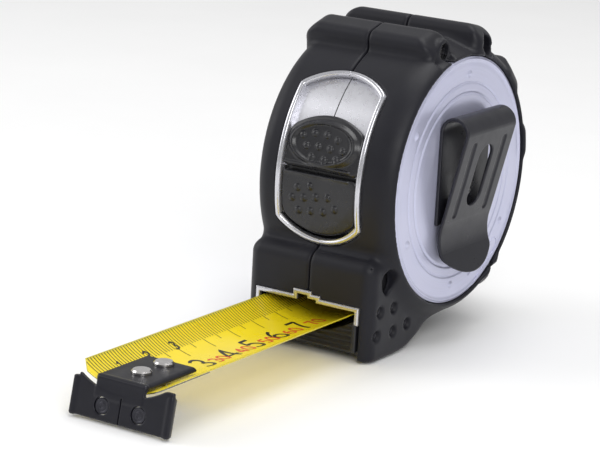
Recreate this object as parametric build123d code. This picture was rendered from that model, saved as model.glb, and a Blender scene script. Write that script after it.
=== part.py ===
from build123d import *
import math
import os

os.makedirs("parts", exist_ok=True)

# Millimetres. X runs across the case, towards the belt clip. Y runs from the hook to the back.
# Z is up. The origin is on the base, straight below the reel's axis.

# ---- driving dimensions ----
AXIS_Z = 40.3            # height of the reel's axis over the base
NOSE_Y = -35.1           # front face of the nose
GRIP_R = 34.1            # rubber drum
GRIP_X = 20.4            # the drum reaches this far on the clip side
GRIP_LEFT_X = 17.8       # and this far on the other side
SHELL_R = 31.9           # plastic case under the rubber
SHELL_X = 17.6
SHELL_LEFT_X = 16.4
CAVITY_R = 30.0          # reel chamber
CAVITY_X = 15.6
CAVITY_LEFT_X = 15.0
NOSE_X = 18.0            # half width of the nose
NOSE_TOP = 25.2
SEAM = 0.2               # half width of the groove where the two rubber halves meet

BLADE_R = 21.24          # radius of the blade's arch across its width
BLADE_X = 12.68          # half of the arched width
BLADE_T = 0.2
BLADE_EDGE_Z = 11.8      # height of the blade's two edges
ARCH_Z = BLADE_EDGE_Z + math.sqrt(BLADE_R ** 2 - BLADE_X ** 2)   # centre of the arch
BLADE_LOW = ARCH_Z - BLADE_R
BLADE_TIP_Y = -107.9
BLADE_FLAT_Y = -1.2      # the blade has flattened here, where it meets the wound coil
BLADE_BEND_Y = -13.0     # and begins to flatten here

COIL_R = 29.0
COIL_X = 13.5
HUB_R = 16.8
ARBOR_R = 4.05
RUNNING = 0.06           # radial clearance of the reel on its arbor

TRACK_R = 33.0           # silver track under the lock slider
RIM_R = 34.5             # silver surround of the buttons
PAD_FLOOR_R = 32.3
PANEL_TILT = 14.0        # the button panel's middle looks this far above the horizontal
SLIDER_TRAVEL = 10.0     # degrees up along the drum
PRESS_TILT = -7.0        # the brake pad is pressed in along this direction

PLATE_R = 30.8           # side plates
PLATE_X = 20.3
PLATE_LEFT_X = 17.7

HOOK_FACE_Y = -108.8     # at the bend of the hook
HOOK_LEAN = -12.4        # the hook's face leans out towards its foot
HOOK_T = 1.1
HOOK_X = 13.4            # half width of the hook's face
HOOK_SHIFT = 0.8         # the face sits this far towards the clip side
HOOK_TOP = 10.6
HOOK_FOOT = 0.6
HOOK_PLATE_Z = 10.4      # top of the plate that lies on the blade
HOOK_FLOAT = 1.0         # the hook slides this far on its rivets
RIVET_YS = (-101.4, -93.2)
RIVET_R = 1.35
MAGNET_XS = (-4.2, 5.8)
MAGNET_Z = 3.9
MAGNET_R = 1.85

CLIP_HALF = 11.8         # half width of the belt clip
CLIP_T = 0.9


# ---- helpers ----
def slab(sketch, x0, x1):
    """A sketch in (y, z), drawn out along X from x0 to x1."""
    return extrude(Plane.YZ.offset(x0) * sketch, x1 - x0)


def disc(radius, x0, x1, y=0.0, z=AXIS_Z):
    """A cylinder along X."""
    return slab(Pos(y, z) * Circle(radius), x0, x1)


def ring(inner, outer, x0, x1):
    """A tube along X round the reel's axis."""
    return slab(Pos(0, AXIS_Z) * (Circle(outer) - Circle(inner)), x0, x1)


def block(x0, x1, y0, y1, z0, z1):
    return Pos((x0 + x1) / 2, (y0 + y1) / 2, (z0 + z1) / 2) * Box(x1 - x0, y1 - y0, z1 - z0)


def polar(radius, degrees):
    """(y, z) at an angle over the horizontal, measured from the front of the drum."""
    turn = math.radians(degrees)
    return (-radius * math.cos(turn), AXIS_Z + radius * math.sin(turn))


def sector(inner, outer, low, high, x0, x1):
    """A piece of a tube round the reel's axis, between two angles."""
    mid = (low + high) / 2
    edges = [
        ThreePointArc(polar(outer, low), polar(outer, mid), polar(outer, high)),
        Line(polar(outer, high), polar(inner, high)),
        ThreePointArc(polar(inner, high), polar(inner, mid), polar(inner, low)),
        Line(polar(inner, low), polar(outer, low)),
    ]
    return slab(make_face(edges), x0, x1)


def front_plane(degrees):
    """A plane through the reel's axis that faces out of the front of the drum; its y runs up the drum."""
    turn = math.radians(degrees)
    return Plane(origin=(0, 0, AXIS_Z), x_dir=(1, 0, 0), z_dir=(0, -math.cos(turn), math.sin(turn)))


def shield(half, low_side, low_mid, high_side, high_mid):
    """An upright panel with arched top and bottom; heights are angles on the drum."""
    height = [RIM_R * math.sin(math.radians(a - PANEL_TILT)) for a in (low_side, low_mid, high_side, high_mid)]
    return make_face([
        ThreePointArc((-half, height[0]), (0, height[1]), (half, height[0])),
        Line((half, height[0]), (half, height[2])),
        ThreePointArc((half, height[2]), (0, height[3]), (-half, height[2])),
        Line((-half, height[2]), (-half, height[0])),
    ])


def panel_prism(sketch):
    """The sketch pushed out through the front of the drum."""
    return extrude(front_plane(PANEL_TILT) * sketch, 45)


def arch_face(radius, half, low, thick, y):
    """A strip's cross-section at y: an arch with its lowest point at height low."""
    def rise(x, r):
        return low + radius - math.sqrt(r ** 2 - x ** 2)

    inner = radius - thick
    side = half * inner / radius
    return Plane.XZ.offset(-y) * make_face([
        ThreePointArc((-half, rise(half, radius)), (0, low), (half, rise(half, radius))),
        Line((half, rise(half, radius)), (side, rise(side, inner))),
        ThreePointArc((side, rise(side, inner)), (0, low + thick), (-side, rise(side, inner))),
        Line((-side, rise(side, inner)), (-half, rise(half, radius))),
    ])


def arch_band(low, thick, half, y0, y1):
    """A band along Y that follows the blade's arch."""
    return extrude(arch_face(BLADE_R, half, low, thick, y0), -(y1 - y0))


def save(shape, node):
    shape.label = node
    export_step(shape, f"parts/{node}.step")


def halves(shape):
    """The left and right parts of a shape, cut at the middle plane."""
    reach = 80
    left = shape & block(-reach, 0, -reach, reach, -reach, 2 * reach)
    right = shape & block(0, reach, -reach, reach, -reach, 2 * reach)
    return left, right


# ---- positions that several pieces share ----
BAR_ANGLES = (74.0, 103.0, 136.0, 171.0, 234.0)      # roll bars round the drum, from the front over the top
BAR_TOPS = (38.3, 38.3, 36.6, 36.2, 36.4)
BAR_FOOT = 29.1
BAR_LEFT = -19.2
BAR_SLOPE = 3.4
BAR_RIGHTS = (18.0, 20.9, 20.4, 20.4, 20.4)          # the foremost bar ends at its screw boss
BOSS_X = 16.8            # half length of the screw bosses
SCREW_ANGLES = (76.5, 104.5, 234.0)
SCREW_CENTRE_R = 33.7
CHIN_SCREW = (-24.0, 4.1)
WINDOW = dict(half=12.0, low_side=-14.0, low_mid=-23.6, high_side=42.8, high_mid=51.5)
WINDOW_X = 0.6
RIM_WIDTH = 1.3


def screw_places():
    return [polar(SCREW_CENTRE_R, a) for a in SCREW_ANGLES] + [CHIN_SCREW]


def window(inset=0.0):
    lift = math.degrees(inset / RIM_R)
    return Pos(WINDOW_X, 0, 0) * panel_prism(shield(
        WINDOW["half"] - inset,
        WINDOW["low_side"] + lift * 0.6,
        WINDOW["low_mid"] + lift,
        WINDOW["high_side"] - lift * 0.6,
        WINDOW["high_mid"] - lift,
    ))


# ---- the plastic case ----
MOUTH_X = 13.7
MOUTH_TOP = 12.8
CROWN_STEPS = ((-2.9, 0.1, 1.5), (0.1, 2.6, 0.75))     # from, to and rise of the two steps in its top
FRAME_T = 1.05
FRAME_FOOT = 9.5
FRAME_Y = -35.4


def mouth_hole():
    """The blade's way out: the arch of the blade below, flat above, with two steps in the middle."""
    below = extrude(Plane.XZ.offset(37) * Pos(0, ARCH_Z) * Circle(BLADE_R + 1.5), -37)
    below &= block(-MOUTH_X, MOUTH_X, -37, 0, 0, MOUTH_TOP)
    for x0, x1, rise in CROWN_STEPS:
        below += block(x0, x1, -37, -30, MOUTH_TOP - 1, MOUTH_TOP + rise)
    return below


def case_envelope():
    """The outside of the plastic case, with no hollows."""
    body = disc(SHELL_R, -SHELL_LEFT_X, SHELL_X)
    side = Polyline((-33.5, 1.6), (-20.5, 1.6), (-12.5, 4.4), (-4, 9), (-4, 23.6), (-33.5, 23.6), close=True)
    body += slab(make_face(side), -NOSE_X + 1.6, NOSE_X - 1.6)
    body += block(-4.8, 4.8, -21, 3, 1.6, 12)
    for y, z in screw_places():
        body += disc(2.3, 0.5 - BOSS_X, BOSS_X, y, z)
    body += window() & ring(30.5, RIM_R, -14, 14)
    frame = block(-MOUTH_X - FRAME_T, MOUTH_X + FRAME_T, FRAME_Y, -30, FRAME_FOOT, MOUTH_TOP + FRAME_T)
    for x0, x1, rise in CROWN_STEPS:
        frame += block(x0 - FRAME_T, x1 + FRAME_T, FRAME_Y, -30, MOUTH_TOP, MOUTH_TOP + rise + FRAME_T)
    return body + frame


LIP = block(-14.3, 14.3, -35.6, -32.9, 2.6, 12.0)
CARRIER_LOW = -50.0
CARRIER_HIGH = 14.0
STEM_LOW = 10.5
STEM_HIGH = 13.5
BUFFER = block(-10, -4.5, -33.2, -32.3, 14.6, 19.0) + block(5.8, 10, -33.2, -32.3, 14.6, 19.0)


def brake_legs(grow, inner, outer):
    """The brake pad's two legs, along the direction it is pressed in."""
    legs = Part()
    for side in (-1, 1):
        leg = Box(2.2 + 2 * grow, 2.6 + 2 * grow, outer - inner)
        legs += front_plane(PRESS_TILT) * Pos(side * 8.5, 0, (inner + outer) / 2) * leg
    return legs


def case_shell():
    shell = case_envelope()
    shell -= disc(CAVITY_R, -CAVITY_LEFT_X, CAVITY_X)
    shell -= mouth_hole()
    shell -= block(-13.9, 13.9, -32.3, -10, 12, 22.2)
    shell -= sector(29.0, 31.7, CARRIER_LOW - 2, CARRIER_HIGH + SLIDER_TRAVEL + 1.5, -4.4, 4.4)
    recess = window(RIM_WIDTH)
    shell -= recess & sector(TRACK_R, 40, -40, 60, -14, 14)
    shell -= recess & sector(PAD_FLOOR_R, 40, -40, 7.4, -14, 14)
    shell -= sector(31.0, 34.0, STEM_LOW - 1, STEM_HIGH + SLIDER_TRAVEL + 1, -2.0, 2.0)
    shell -= brake_legs(0.35, 28.5, 34.0)
    shell -= disc(ARBOR_R + 0.05, -15.9, 16.8)
    shell -= disc(1.7, 16.0, 25.0)
    shell -= LIP
    shell -= BUFFER
    for y, z in screw_places():
        shell -= disc(1.3, -12.5, 20, y, z)
        shell -= disc(2.05, 14.6, 20, y, z)
    return shell


# ---- the rubber overmould ----
def nose_outside():
    side = [
        Line((NOSE_Y, 0.9), (NOSE_Y, NOSE_TOP - 3.6)),
        RadiusArc((NOSE_Y, NOSE_TOP - 3.6), (NOSE_Y + 3.6, NOSE_TOP), 3.6),
        Line((NOSE_Y + 3.6, NOSE_TOP), (0, NOSE_TOP)),
        Line((0, NOSE_TOP), (0, 12)),
        Line((0, 12), (-5.0, 8.4)),
        ThreePointArc((-5.0, 8.4), (-12.5, 2.6), (-21.0, 0)),
        Line((-21.0, 0), (NOSE_Y + 0.9, 0)),
        Line((NOSE_Y + 0.9, 0), (NOSE_Y, 0.9)),
    ]
    nose = slab(make_face(side), -NOSE_X, NOSE_X)
    uprights = nose.edges().filter_by(Axis.Z).group_by(Axis.Y)[0]
    return fillet(uprights, 2.6)


def keel():
    """The flat foot under the drum."""
    side = Polyline((-28, 0), (12, 0), (17, 2.4), (20, 12), (-28, 12), close=True)
    foot = slab(make_face(side), -6, 6)
    return chamfer(foot.edges().filter_by(Axis.Y).group_by(Axis.Z)[0], 1.2)


def roll_bar(degrees, right, top):
    """A bumper across the drum, whose ends slope down to the drum's sides."""
    bar = block(BAR_LEFT, right, -4.5, 4.5, BAR_FOOT, top)
    bar = chamfer(bar.edges().filter_by(Axis.Y).group_by(Axis.Z)[-1], BAR_SLOPE)
    bar = fillet(bar.edges().filter_by(Axis.X), 1.8)
    return front_plane(degrees) * bar


def cut_shoulder():
    """The clip side's shoulder is cut down to a slope between the two upper bars."""
    slope = make_face(Polyline((GRIP_R + 0.3, 12.0), (GRIP_R + 0.3, 22.0), (PLATE_R + 0.1, 21.0), close=True))
    ring_cut = revolve(Plane(origin=(0, 0, AXIS_Z), x_dir=(0, 1, 0), z_dir=(0, 0, -1)) * slope, Axis((0, 0, AXIS_Z), (1, 0, 0)))
    return ring_cut & sector(20, 45, 67, 112, 10, 24)


def grip_body():
    drum = disc(GRIP_R, -GRIP_LEFT_X, GRIP_X)
    drum = fillet(drum.edges().filter_by(GeomType.CIRCLE), 3.0)
    body = drum - cut_shoulder() + nose_outside() + keel()
    for bar in zip(BAR_ANGLES, BAR_RIGHTS, BAR_TOPS):
        body += roll_bar(*bar)
    body -= disc(PLATE_R + 0.2, SHELL_X, GRIP_X + 3)
    body -= disc(PLATE_R + 0.2, -GRIP_LEFT_X - 3, -SHELL_LEFT_X)
    body -= case_envelope()
    body -= window() & sector(30.5, 40, -40, 60, -14, 14)
    body -= mouth_hole()
    body -= LIP
    for angle in SCREW_ANGLES:
        body -= disc(2.35, 14.0, 24, *polar(SCREW_CENTRE_R, angle))
        body -= disc(2.35, -24, 0.5 - BOSS_X, *polar(SCREW_CENTRE_R, angle))
    body -= ring(GRIP_R - 0.35, GRIP_R + 2, -SEAM, SEAM) & block(-1, 1, -40, 40, 8, 80)
    body -= block(-SEAM, SEAM, NOSE_Y - 1, NOSE_Y + 0.35, 17.2, NOSE_TOP + 1)
    return body


# ---- pieces of the case ----
def mouth_lip():
    """The lower lip, with ribs across its front and the blade's arch in its top."""
    lip = LIP - mouth_hole()
    for step in range(4):
        z = 3.6 + 1.45 * step
        lip -= block(-13.2, 13.2, -36, -35.0, z, z + 0.7)
    return lip


def spring_arbor():
    """The fixed post of the reel, with a cross slot for the spring's inner end and a thread for the clip."""
    post = disc(ARBOR_R, -15.8, 16.6)
    post -= disc(1.5, 8.0, 17.0)
    post -= block(-10, 10, -0.45, 0.45, AXIS_Z, AXIS_Z + 5)
    return post


def case_screws():
    screws = Part()
    for y, z in screw_places():
        screw = disc(1.25, -12.0, 14.7, y, z) + disc(1.95, 14.7, 16.2, y, z)
        for turn in (0, 90):
            slot = Pos(0, y, z) * Rot(turn, 0, 0) * Box(1, 0.5, 2.4)
            screw -= Pos(15.9, 0, 0) * slot
        screws += screw
    return screws


def side_plate():
    """The round plate on the clip side: a bead round its rim and two grooves in a domed face."""
    edge = Spline((28.6, 19.9), (26.5, 20.15), (24.5, 20.1))
    face = make_face([
        Polyline((0, SHELL_X), (PLATE_R, SHELL_X), (PLATE_R, 19.6)),
        ThreePointArc((PLATE_R, 19.6), (29.9, 20.45), (29.0, 19.9)),
        Line((29.0, 19.9), (28.6, 19.9)),
        edge,
        Polyline((24.5, 20.1), (24.3, 19.75), (24.1, 20.1), (21.9, PLATE_X), (21.7, 19.95), (21.5, PLATE_X)),
        Line((21.5, PLATE_X), (0, PLATE_X)),
        Line((0, PLATE_X), (0, SHELL_X)),
    ])
    plate = revolve(Plane(origin=(0, 0, AXIS_Z), x_dir=(0, 1, 0), z_dir=(0, 0, -1)) * face, Axis((0, 0, AXIS_Z), (1, 0, 0)))
    for index in range(6):
        turn = math.radians(87 + 60 * index)
        plate += Pos(20.0, 26.4 * math.cos(turn), AXIS_Z + 26.4 * math.sin(turn)) * Sphere(0.7)
    return plate


# ---- belt clip ----
def belt_clip():
    """A strip of spring steel bent over at the top: back leaf, bend, sloping tongue, flared tip."""
    back_x = PLATE_X + CLIP_T / 2
    lines = Line((back_x, AXIS_Z - 9), (back_x, AXIS_Z + 13.6))
    lines += ThreePointArc((back_x, AXIS_Z + 13.6), (24.35, AXIS_Z + 17.5), (27.95, AXIS_Z + 13.9))
    lines += Line((27.95, AXIS_Z + 13.9), (22.6, AXIS_Z - 8.5))
    lines += ThreePointArc((22.6, AXIS_Z - 8.5), (21.95, AXIS_Z - 12.6), (22.6, AXIS_Z - 16.5))
    lines += Line((22.6, AXIS_Z - 16.5), (25.6, AXIS_Z - 22.2))
    section = trace(lines, CLIP_T)
    strip = extrude(Plane.XZ * section, CLIP_HALF, both=True)
    outline = make_face([
        Line((-CLIP_HALF, AXIS_Z + 20), (CLIP_HALF, AXIS_Z + 20)),
        Line((CLIP_HALF, AXIS_Z + 20), (CLIP_HALF, AXIS_Z - 17.5)),
        ThreePointArc((CLIP_HALF, AXIS_Z - 17.5), (0, AXIS_Z - 22.1), (-CLIP_HALF, AXIS_Z - 17.5)),
        Line((-CLIP_HALF, AXIS_Z - 17.5), (-CLIP_HALF, AXIS_Z + 20)),
    ])
    clip = strip & slab(outline, 20, 32)
    slot = Pos(0, AXIS_Z + 2.3) * SlotOverall(15.8, 6.6, rotation=90)
    clip -= slab(slot, PLATE_X + 2, 32)
    clip -= disc(1.7, 20, 22)
    tongue = Plane(origin=(25.9, 0, AXIS_Z + 2.0), x_dir=(0, 1, 0), z_dir=(0.9726, 0, -0.2324))
    for side in (-1, 1):
        groove = tongue * Pos(side * 7.4, 0, 0.1) * extrude(SlotOverall(19.5, 1.9, rotation=90), 1)
        clip -= groove
    return clip


def clip_screw():
    screw = disc(1.45, 9.0, PLATE_X + CLIP_T) + disc(3.3, PLATE_X + CLIP_T, PLATE_X + CLIP_T + 1.1)
    for turn in (0, 90):
        screw -= Pos(PLATE_X + CLIP_T + 1.0, 0, AXIS_Z) * Rot(turn, 0, 0) * Box(1, 0.7, 3.6)
    return screw


# ---- reel ----
def reel_drum():
    """The drum that the blade winds on, with one flange, turning on the arbor."""
    drum = ring(15.2, HUB_R - 0.1, -COIL_X - 0.2, COIL_X + 0.2)
    drum += ring(ARBOR_R + RUNNING, 21.0, -14.7, -COIL_X - 0.2)
    drum -= block(-COIL_X, COIL_X, 14.0, 18.0, AXIS_Z - 0.5, AXIS_Z + 0.5)
    return drum


def reel_cap():
    cap = ring(ARBOR_R + RUNNING, 21.0, COIL_X + 0.2, 14.7)
    for index in range(6):
        turn = math.radians(60 * index)
        cap -= disc(2.0, 13, 15, 10 * math.cos(turn), AXIS_Z + 10 * math.sin(turn))
    return cap


def blade_coil():
    return ring(HUB_R, COIL_R, -COIL_X, COIL_X)


def blade_anchor():
    """The tab that hooks the blade's inner end into the drum's slot."""
    return block(-6, 6, 14.4, HUB_R - 0.1, AXIS_Z - 0.4, AXIS_Z + 0.4)


def power_spring():
    """A flat spiral spring between the arbor and the drum."""
    turns = 6
    start = 5.4
    pitch = 1.45
    lines = []
    y = start
    for index in range(2 * turns):
        reach = pitch / 2
        sign = 1 if index % 2 == 0 else -1
        radius = (2 * abs(y) + reach) / 2
        centre = y - sign * radius
        lines.append(ThreePointArc((y, AXIS_Z), (centre, AXIS_Z + sign * radius), (y - sign * 2 * radius, AXIS_Z)))
        y -= sign * 2 * radius
    return slab(trace(lines, 0.5), -10.5, 10.5)


# ---- blade and hook ----
def blade_strip():
    """The blade from its tip to the coil: arched outside, flattening as it comes to the coil."""
    strip = arch_band(BLADE_LOW, BLADE_T, BLADE_X, BLADE_TIP_Y, BLADE_BEND_Y)
    for side in (-1, 1):
        strip -= Pos(side * BLADE_X, BLADE_TIP_Y, 15) * Rot(0, 0, 45) * Box(3.6, 3.6, 40)
    strip += loft([
        arch_face(BLADE_R, BLADE_X, BLADE_LOW, BLADE_T, BLADE_BEND_Y),
        arch_face(400, 13.4, 10.75, BLADE_T, BLADE_FLAT_Y),
    ])
    return strip - rivet_holes()


def rivet_holes():
    holes = Part()
    for y in RIVET_YS:
        holes += Pos(0, y, 8) * Cylinder(RIVET_R + 0.05, 8)
    return holes


def leaning(shape):
    """The shape turned about the bend at the front of the hook's plate."""
    bend = Pos(0, HOOK_FACE_Y, HOOK_PLATE_Z)
    return bend * Rot(HOOK_LEAN, 0, 0) * bend.inverse() * shape


def hook():
    """The end hook: top plate with folded sides, strap over the blade's end, and a wide leaning face."""
    top = HOOK_PLATE_Z
    plate = block(-7.0, 7.0, HOOK_FACE_Y + 1, -89.8, top - 0.9, top)
    for side in (-1, 1):
        x0, x1 = sorted((side * 7.0, side * 6.1))
        plate += block(x0, x1, -107.0, -89.8, top - 1.05, top)
    plate = fillet(plate.edges().filter_by(Axis.Y).group_by(Axis.Z)[-1], 0.6)
    strap = block(-6.6, 6.6, HOOK_FACE_Y, HOOK_FACE_Y + HOOK_T, 5.5, top)
    strap = fillet(strap.edges().filter_by(Axis.X).group_by(Axis.Y)[0].sort_by(Axis.Z)[-1], 0.9)
    front = block(HOOK_SHIFT - HOOK_X, HOOK_SHIFT + HOOK_X, HOOK_FACE_Y, HOOK_FACE_Y + HOOK_T, HOOK_FOOT, HOOK_TOP)
    scoop = extrude(Plane.XZ.offset(112) * Pos(0, ARCH_Z) * Circle(BLADE_R + 0.6), -8)
    front -= scoop
    for side in (-1, 1):
        x0, x1 = sorted((HOOK_SHIFT + side * HOOK_X, HOOK_SHIFT + side * (HOOK_X - 1.1)))
        front += block(x0, x1, HOOK_FACE_Y, HOOK_FACE_Y + 2.0, HOOK_FOOT, HOOK_TOP - 1.2)
    front += strap
    front -= block(HOOK_SHIFT - 0.25, HOOK_SHIFT + 0.25, HOOK_FACE_Y - 1, HOOK_FACE_Y + 0.35, HOOK_FOOT - 1, 5.4)
    for x in MAGNET_XS:
        front -= extrude(Plane.XZ.offset(112) * Pos(x, MAGNET_Z) * Circle(MAGNET_R + 0.15), -8)
    body = plate + leaning(front)
    for y in RIVET_YS:
        slot = SlotOverall(2 * RIVET_R + 0.2 + HOOK_FLOAT, 2 * RIVET_R + 0.2, rotation=90)
        body -= extrude(Plane.XY.offset(8) * Pos(0, y + HOOK_FLOAT / 2) * slot, 4)
    return body


def hook_magnets():
    magnets = Part()
    for x in MAGNET_XS:
        magnets += extrude(Plane.XZ.offset(-HOOK_FACE_Y - 0.35) * Pos(x, MAGNET_Z) * Circle(MAGNET_R), -1.6)
    return leaning(magnets)


def hook_rivets():
    rivets = Part()
    for y in RIVET_YS:
        rivet = Pos(0, y, 0) * extrude(Plane.XY.offset(7.0) * Circle(RIVET_R), 3.6)
        head = Pos(0, y, 0) * extrude(Plane.XY.offset(HOOK_PLATE_Z + 0.08) * Circle(2.35), 0.85)
        foot = Pos(0, y, 0) * extrude(Plane.XY.offset(6.75) * Circle(2.0), 0.5)
        rivets += rivet + chamfer(head.edges().group_by(Axis.Z)[-1], 0.35) + foot
    return rivets


def tip_stiffener():
    """A short strip bonded under the blade's end, which the rivets clench."""
    return arch_band(BLADE_LOW - 0.33, 0.27, 9.0, -106.9, -88.0) - rivet_holes()


# ---- lock and brake ----
SLIDER = dict(half=10.5, low_side=7.7, low_mid=7.7, high_side=23.6, high_mid=30.4)
PAD = dict(half=10.5, low_side=-11.6, low_mid=-19.2, high_side=6.3, high_mid=6.3)


def upright_shape(spec, inner, outer):
    height = [RIM_R * math.sin(math.radians(spec[k] - PANEL_TILT)) for k in ("low_side", "low_mid", "high_side", "high_mid")]
    half = spec["half"]
    low = Line((-half, height[0]), (half, height[0]))
    high = Line((half, height[2]), (-half, height[2]))
    if height[0] != height[1]:
        low = ThreePointArc((-half, height[0]), (0, height[1]), (half, height[0]))
    if height[2] != height[3]:
        high = ThreePointArc((half, height[2]), (0, height[3]), (-half, height[2]))
    sides = [Line((half, height[0]), (half, height[2])), Line((-half, height[2]), (-half, height[0]))]
    return Pos(WINDOW_X, 0, 0) * panel_prism(make_face([low, high] + sides)) & ring(inner, outer, -14, 14)


def lock_slider():
    """The thumb slider: a curved plate with a raised oval rim, dished inside, and round bumps."""
    slider = upright_shape(SLIDER, TRACK_R + 0.2, 34.4)
    tilt = front_plane(18.4)
    oval = extrude(tilt * Pos(WINDOW_X, 0) * Ellipse(9.2, 5.3), 45)
    slider += oval & ring(33.8, 35.3, -14, 14)
    dish = extrude(tilt * Pos(WINDOW_X, 0) * Ellipse(8.2, 4.4), 45)
    slider -= dish & ring(34.7, 40, -14, 14)
    slider += bumps(tilt, [(-6, 1.4), (-2.6, 2.4), (0.8, 2.4), (4.2, 1.6), (-4.4, -1.0), (-1.0, -0.9), (2.4, -1.0), (5.8, -0.8), (0.6, -3.2), (-2.8, -3.0), (3.9, -2.9)], 34.6)
    return slider


def bumps(plane, places, radius):
    found = Part()
    for x, y in places:
        found += plane * Pos(x, y, math.sqrt(radius ** 2 - y ** 2)) * Sphere(0.85)
    return found


def brake_button():
    pad = upright_shape(PAD, PAD_FLOOR_R + 1.2, 34.4)
    places = [(-5.4, 2.6), (-1.8, 3.0), (-7.2, -0.4), (-3.6, -0.2), (0.0, 0.2), (3.6, 0.6), (-5.2, -3.6), (-1.6, -3.4), (2.0, -3.2), (5.4, -2.4)]
    pad += bumps(front_plane(PRESS_TILT), places, 34.3)
    return pad + brake_legs(0.0, 30.4, PAD_FLOOR_R + 1.4)


def brake_springs():
    """Two bowed leaves that lift the brake pad."""
    leaves = Part()
    for side in (-1, 1):
        leaves += sector(PAD_FLOOR_R, PAD_FLOOR_R + 0.3, -14, 0, side * 5.6 - 0.7, side * 5.6 + 0.7)
        leaves += sector(PAD_FLOOR_R + 0.3, PAD_FLOOR_R + 1.2, -8, -6, side * 5.6 - 0.7, side * 5.6 + 0.7)
    return leaves


def lock_carrier():
    """The steel band behind the panel that joins the slider to the shoe."""
    band = sector(30.7, 31.3, CARRIER_LOW, CARRIER_HIGH, -4.0, 4.0)
    return band + sector(31.0, TRACK_R + 0.2, STEM_LOW, STEM_HIGH, -1.6, 1.6)


def lock_shoe():
    """The shoe that bears on both edges of the blade, inside the nose."""
    beam = block(-13.3, 13.3, -24.0, -21.0, 14.4, 16.0)
    for side in (-1, 1):
        x0, x1 = sorted((side * 10.4, side * 13.3))
        beam += block(x0, x1, -24.0, -21.0, 12.0, 14.6)
    beam += block(-4.0, 4.0, -22.6, -20.6, 15.6, 17.2)
    return beam - sector(30.7, 31.3, CARRIER_LOW - 4, CARRIER_HIGH, -4.0, 4.0)


def build():
    case_left, case_right = halves(case_shell())
    save(case_left, "case_left")
    save(case_right, "case_right")
    grip_left, grip_right = halves(grip_body())
    save(grip_left, "grip_left")
    save(grip_right, "grip_right")
    plate = side_plate()
    save(plate - disc(1.7, 15, 25), "side_plate_right")
    left_plate = Pos(PLATE_X - PLATE_LEFT_X, 0, 0) * mirror(plate, Plane.YZ)
    save(left_plate - disc(PLATE_R + 1, -SHELL_LEFT_X, 0), "side_plate_left")
    save(mouth_lip(), "mouth_lip")
    save(BUFFER, "hook_buffers")
    save(spring_arbor(), "spring_arbor")
    save(case_screws(), "case_screws")
    save(belt_clip(), "belt_clip")
    save(clip_screw(), "clip_screw")
    save(reel_drum(), "reel_drum")
    save(reel_cap(), "reel_cap")
    save(blade_coil(), "blade_coil")
    save(blade_anchor(), "blade_anchor")
    save(power_spring(), "power_spring")
    save(blade_strip(), "blade_strip")
    save(tip_stiffener(), "tip_stiffener")
    save(hook(), "hook")
    save(hook_magnets(), "hook_magnets")
    save(hook_rivets(), "hook_rivets")
    save(lock_slider(), "lock_slider")
    save(lock_carrier(), "lock_carrier")
    save(lock_shoe(), "lock_shoe")
    save(brake_button(), "brake_button")
    save(brake_springs(), "brake_springs")


build()
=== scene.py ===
import math

import bpy
import numpy as np
from mathutils import Matrix, Vector


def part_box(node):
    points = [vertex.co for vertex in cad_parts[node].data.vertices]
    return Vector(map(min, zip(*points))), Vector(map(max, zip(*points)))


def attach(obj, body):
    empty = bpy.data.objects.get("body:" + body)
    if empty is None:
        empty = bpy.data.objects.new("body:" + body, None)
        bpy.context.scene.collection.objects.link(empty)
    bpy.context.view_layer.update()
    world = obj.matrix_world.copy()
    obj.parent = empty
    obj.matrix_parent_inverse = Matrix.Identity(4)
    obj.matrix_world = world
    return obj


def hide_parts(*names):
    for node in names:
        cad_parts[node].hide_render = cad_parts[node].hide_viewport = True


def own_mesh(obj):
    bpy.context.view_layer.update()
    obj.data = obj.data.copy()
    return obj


bl_info = {
    "name": "Tape measure",
    "version": (1, 0, 0),
    "blender": (4, 5, 0),
    "location": "View3D > Sidebar > Tape measure",
    "description": "Dresses the frame of a pocket tape measure with its rubber, silver, steel and printing",
    "category": "Object",
}

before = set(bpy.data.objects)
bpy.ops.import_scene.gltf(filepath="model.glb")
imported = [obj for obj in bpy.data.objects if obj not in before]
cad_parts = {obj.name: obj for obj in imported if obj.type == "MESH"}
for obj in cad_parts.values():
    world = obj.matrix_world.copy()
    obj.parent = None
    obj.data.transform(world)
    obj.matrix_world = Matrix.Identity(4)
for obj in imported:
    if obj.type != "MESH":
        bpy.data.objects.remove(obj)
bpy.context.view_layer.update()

MM = 0.001                         # the frame is in metres, the fields below are in millimetres


def corners(node):
    """The lowest and highest corner of a CAD node, in millimetres."""
    low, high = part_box(node)
    return np.array(low) / MM, np.array(high) / MM


PLATE_LOW, PLATE_HIGH = corners("side_plate_right")
LIP_LOW, LIP_HIGH = corners("mouth_lip")
BLADE_LOW, BLADE_HIGH = corners("blade_strip")
HOOK_LOW, HOOK_HIGH = corners("hook")
CLIP_LOW, CLIP_HIGH = corners("belt_clip")
RIVET_TOP = corners("hook_rivets")[1][2]

AXIS_Z = (PLATE_LOW[2] + PLATE_HIGH[2]) / 2     # height of the reel's axis
PLATE_R = (PLATE_HIGH[2] - PLATE_LOW[2]) / 2
PRESS_TILT = -7                                 # the brake pad is pressed in along this direction
PANEL_TILT = math.radians(14)                   # the button panel looks this far above the horizontal
BAR_ANGLES = (74, 103, 136, 171, 234)           # roll bars, from the front of the drum over its top
BAR_LEFT = -19.2
BAR_TOPS = (38.3, 38.3, 36.6, 36.2, 36.4)
BAR_RIGHTS = (18.0, 20.9, 20.4, 20.4, 20.4)     # the foremost bar ends at its screw boss
SCREW_ANGLES = (76.5, 104.5, 234)
SCREW_CENTRE_R = 33.7
BOSS_X = 17.75
RIM_R = 34.5
TRACK_R = 33.0
BLADE_T = 0.2
BLADE_R = 21.24
BLADE_BEND_Y = -13.0                            # the blade's arch begins to flatten here
BLADE_FLAT_Y = -1.2                             # and is flat here, at the coil
BLADE_HALF = 12.68
BLADE_EDGE_Z = 11.8
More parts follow.
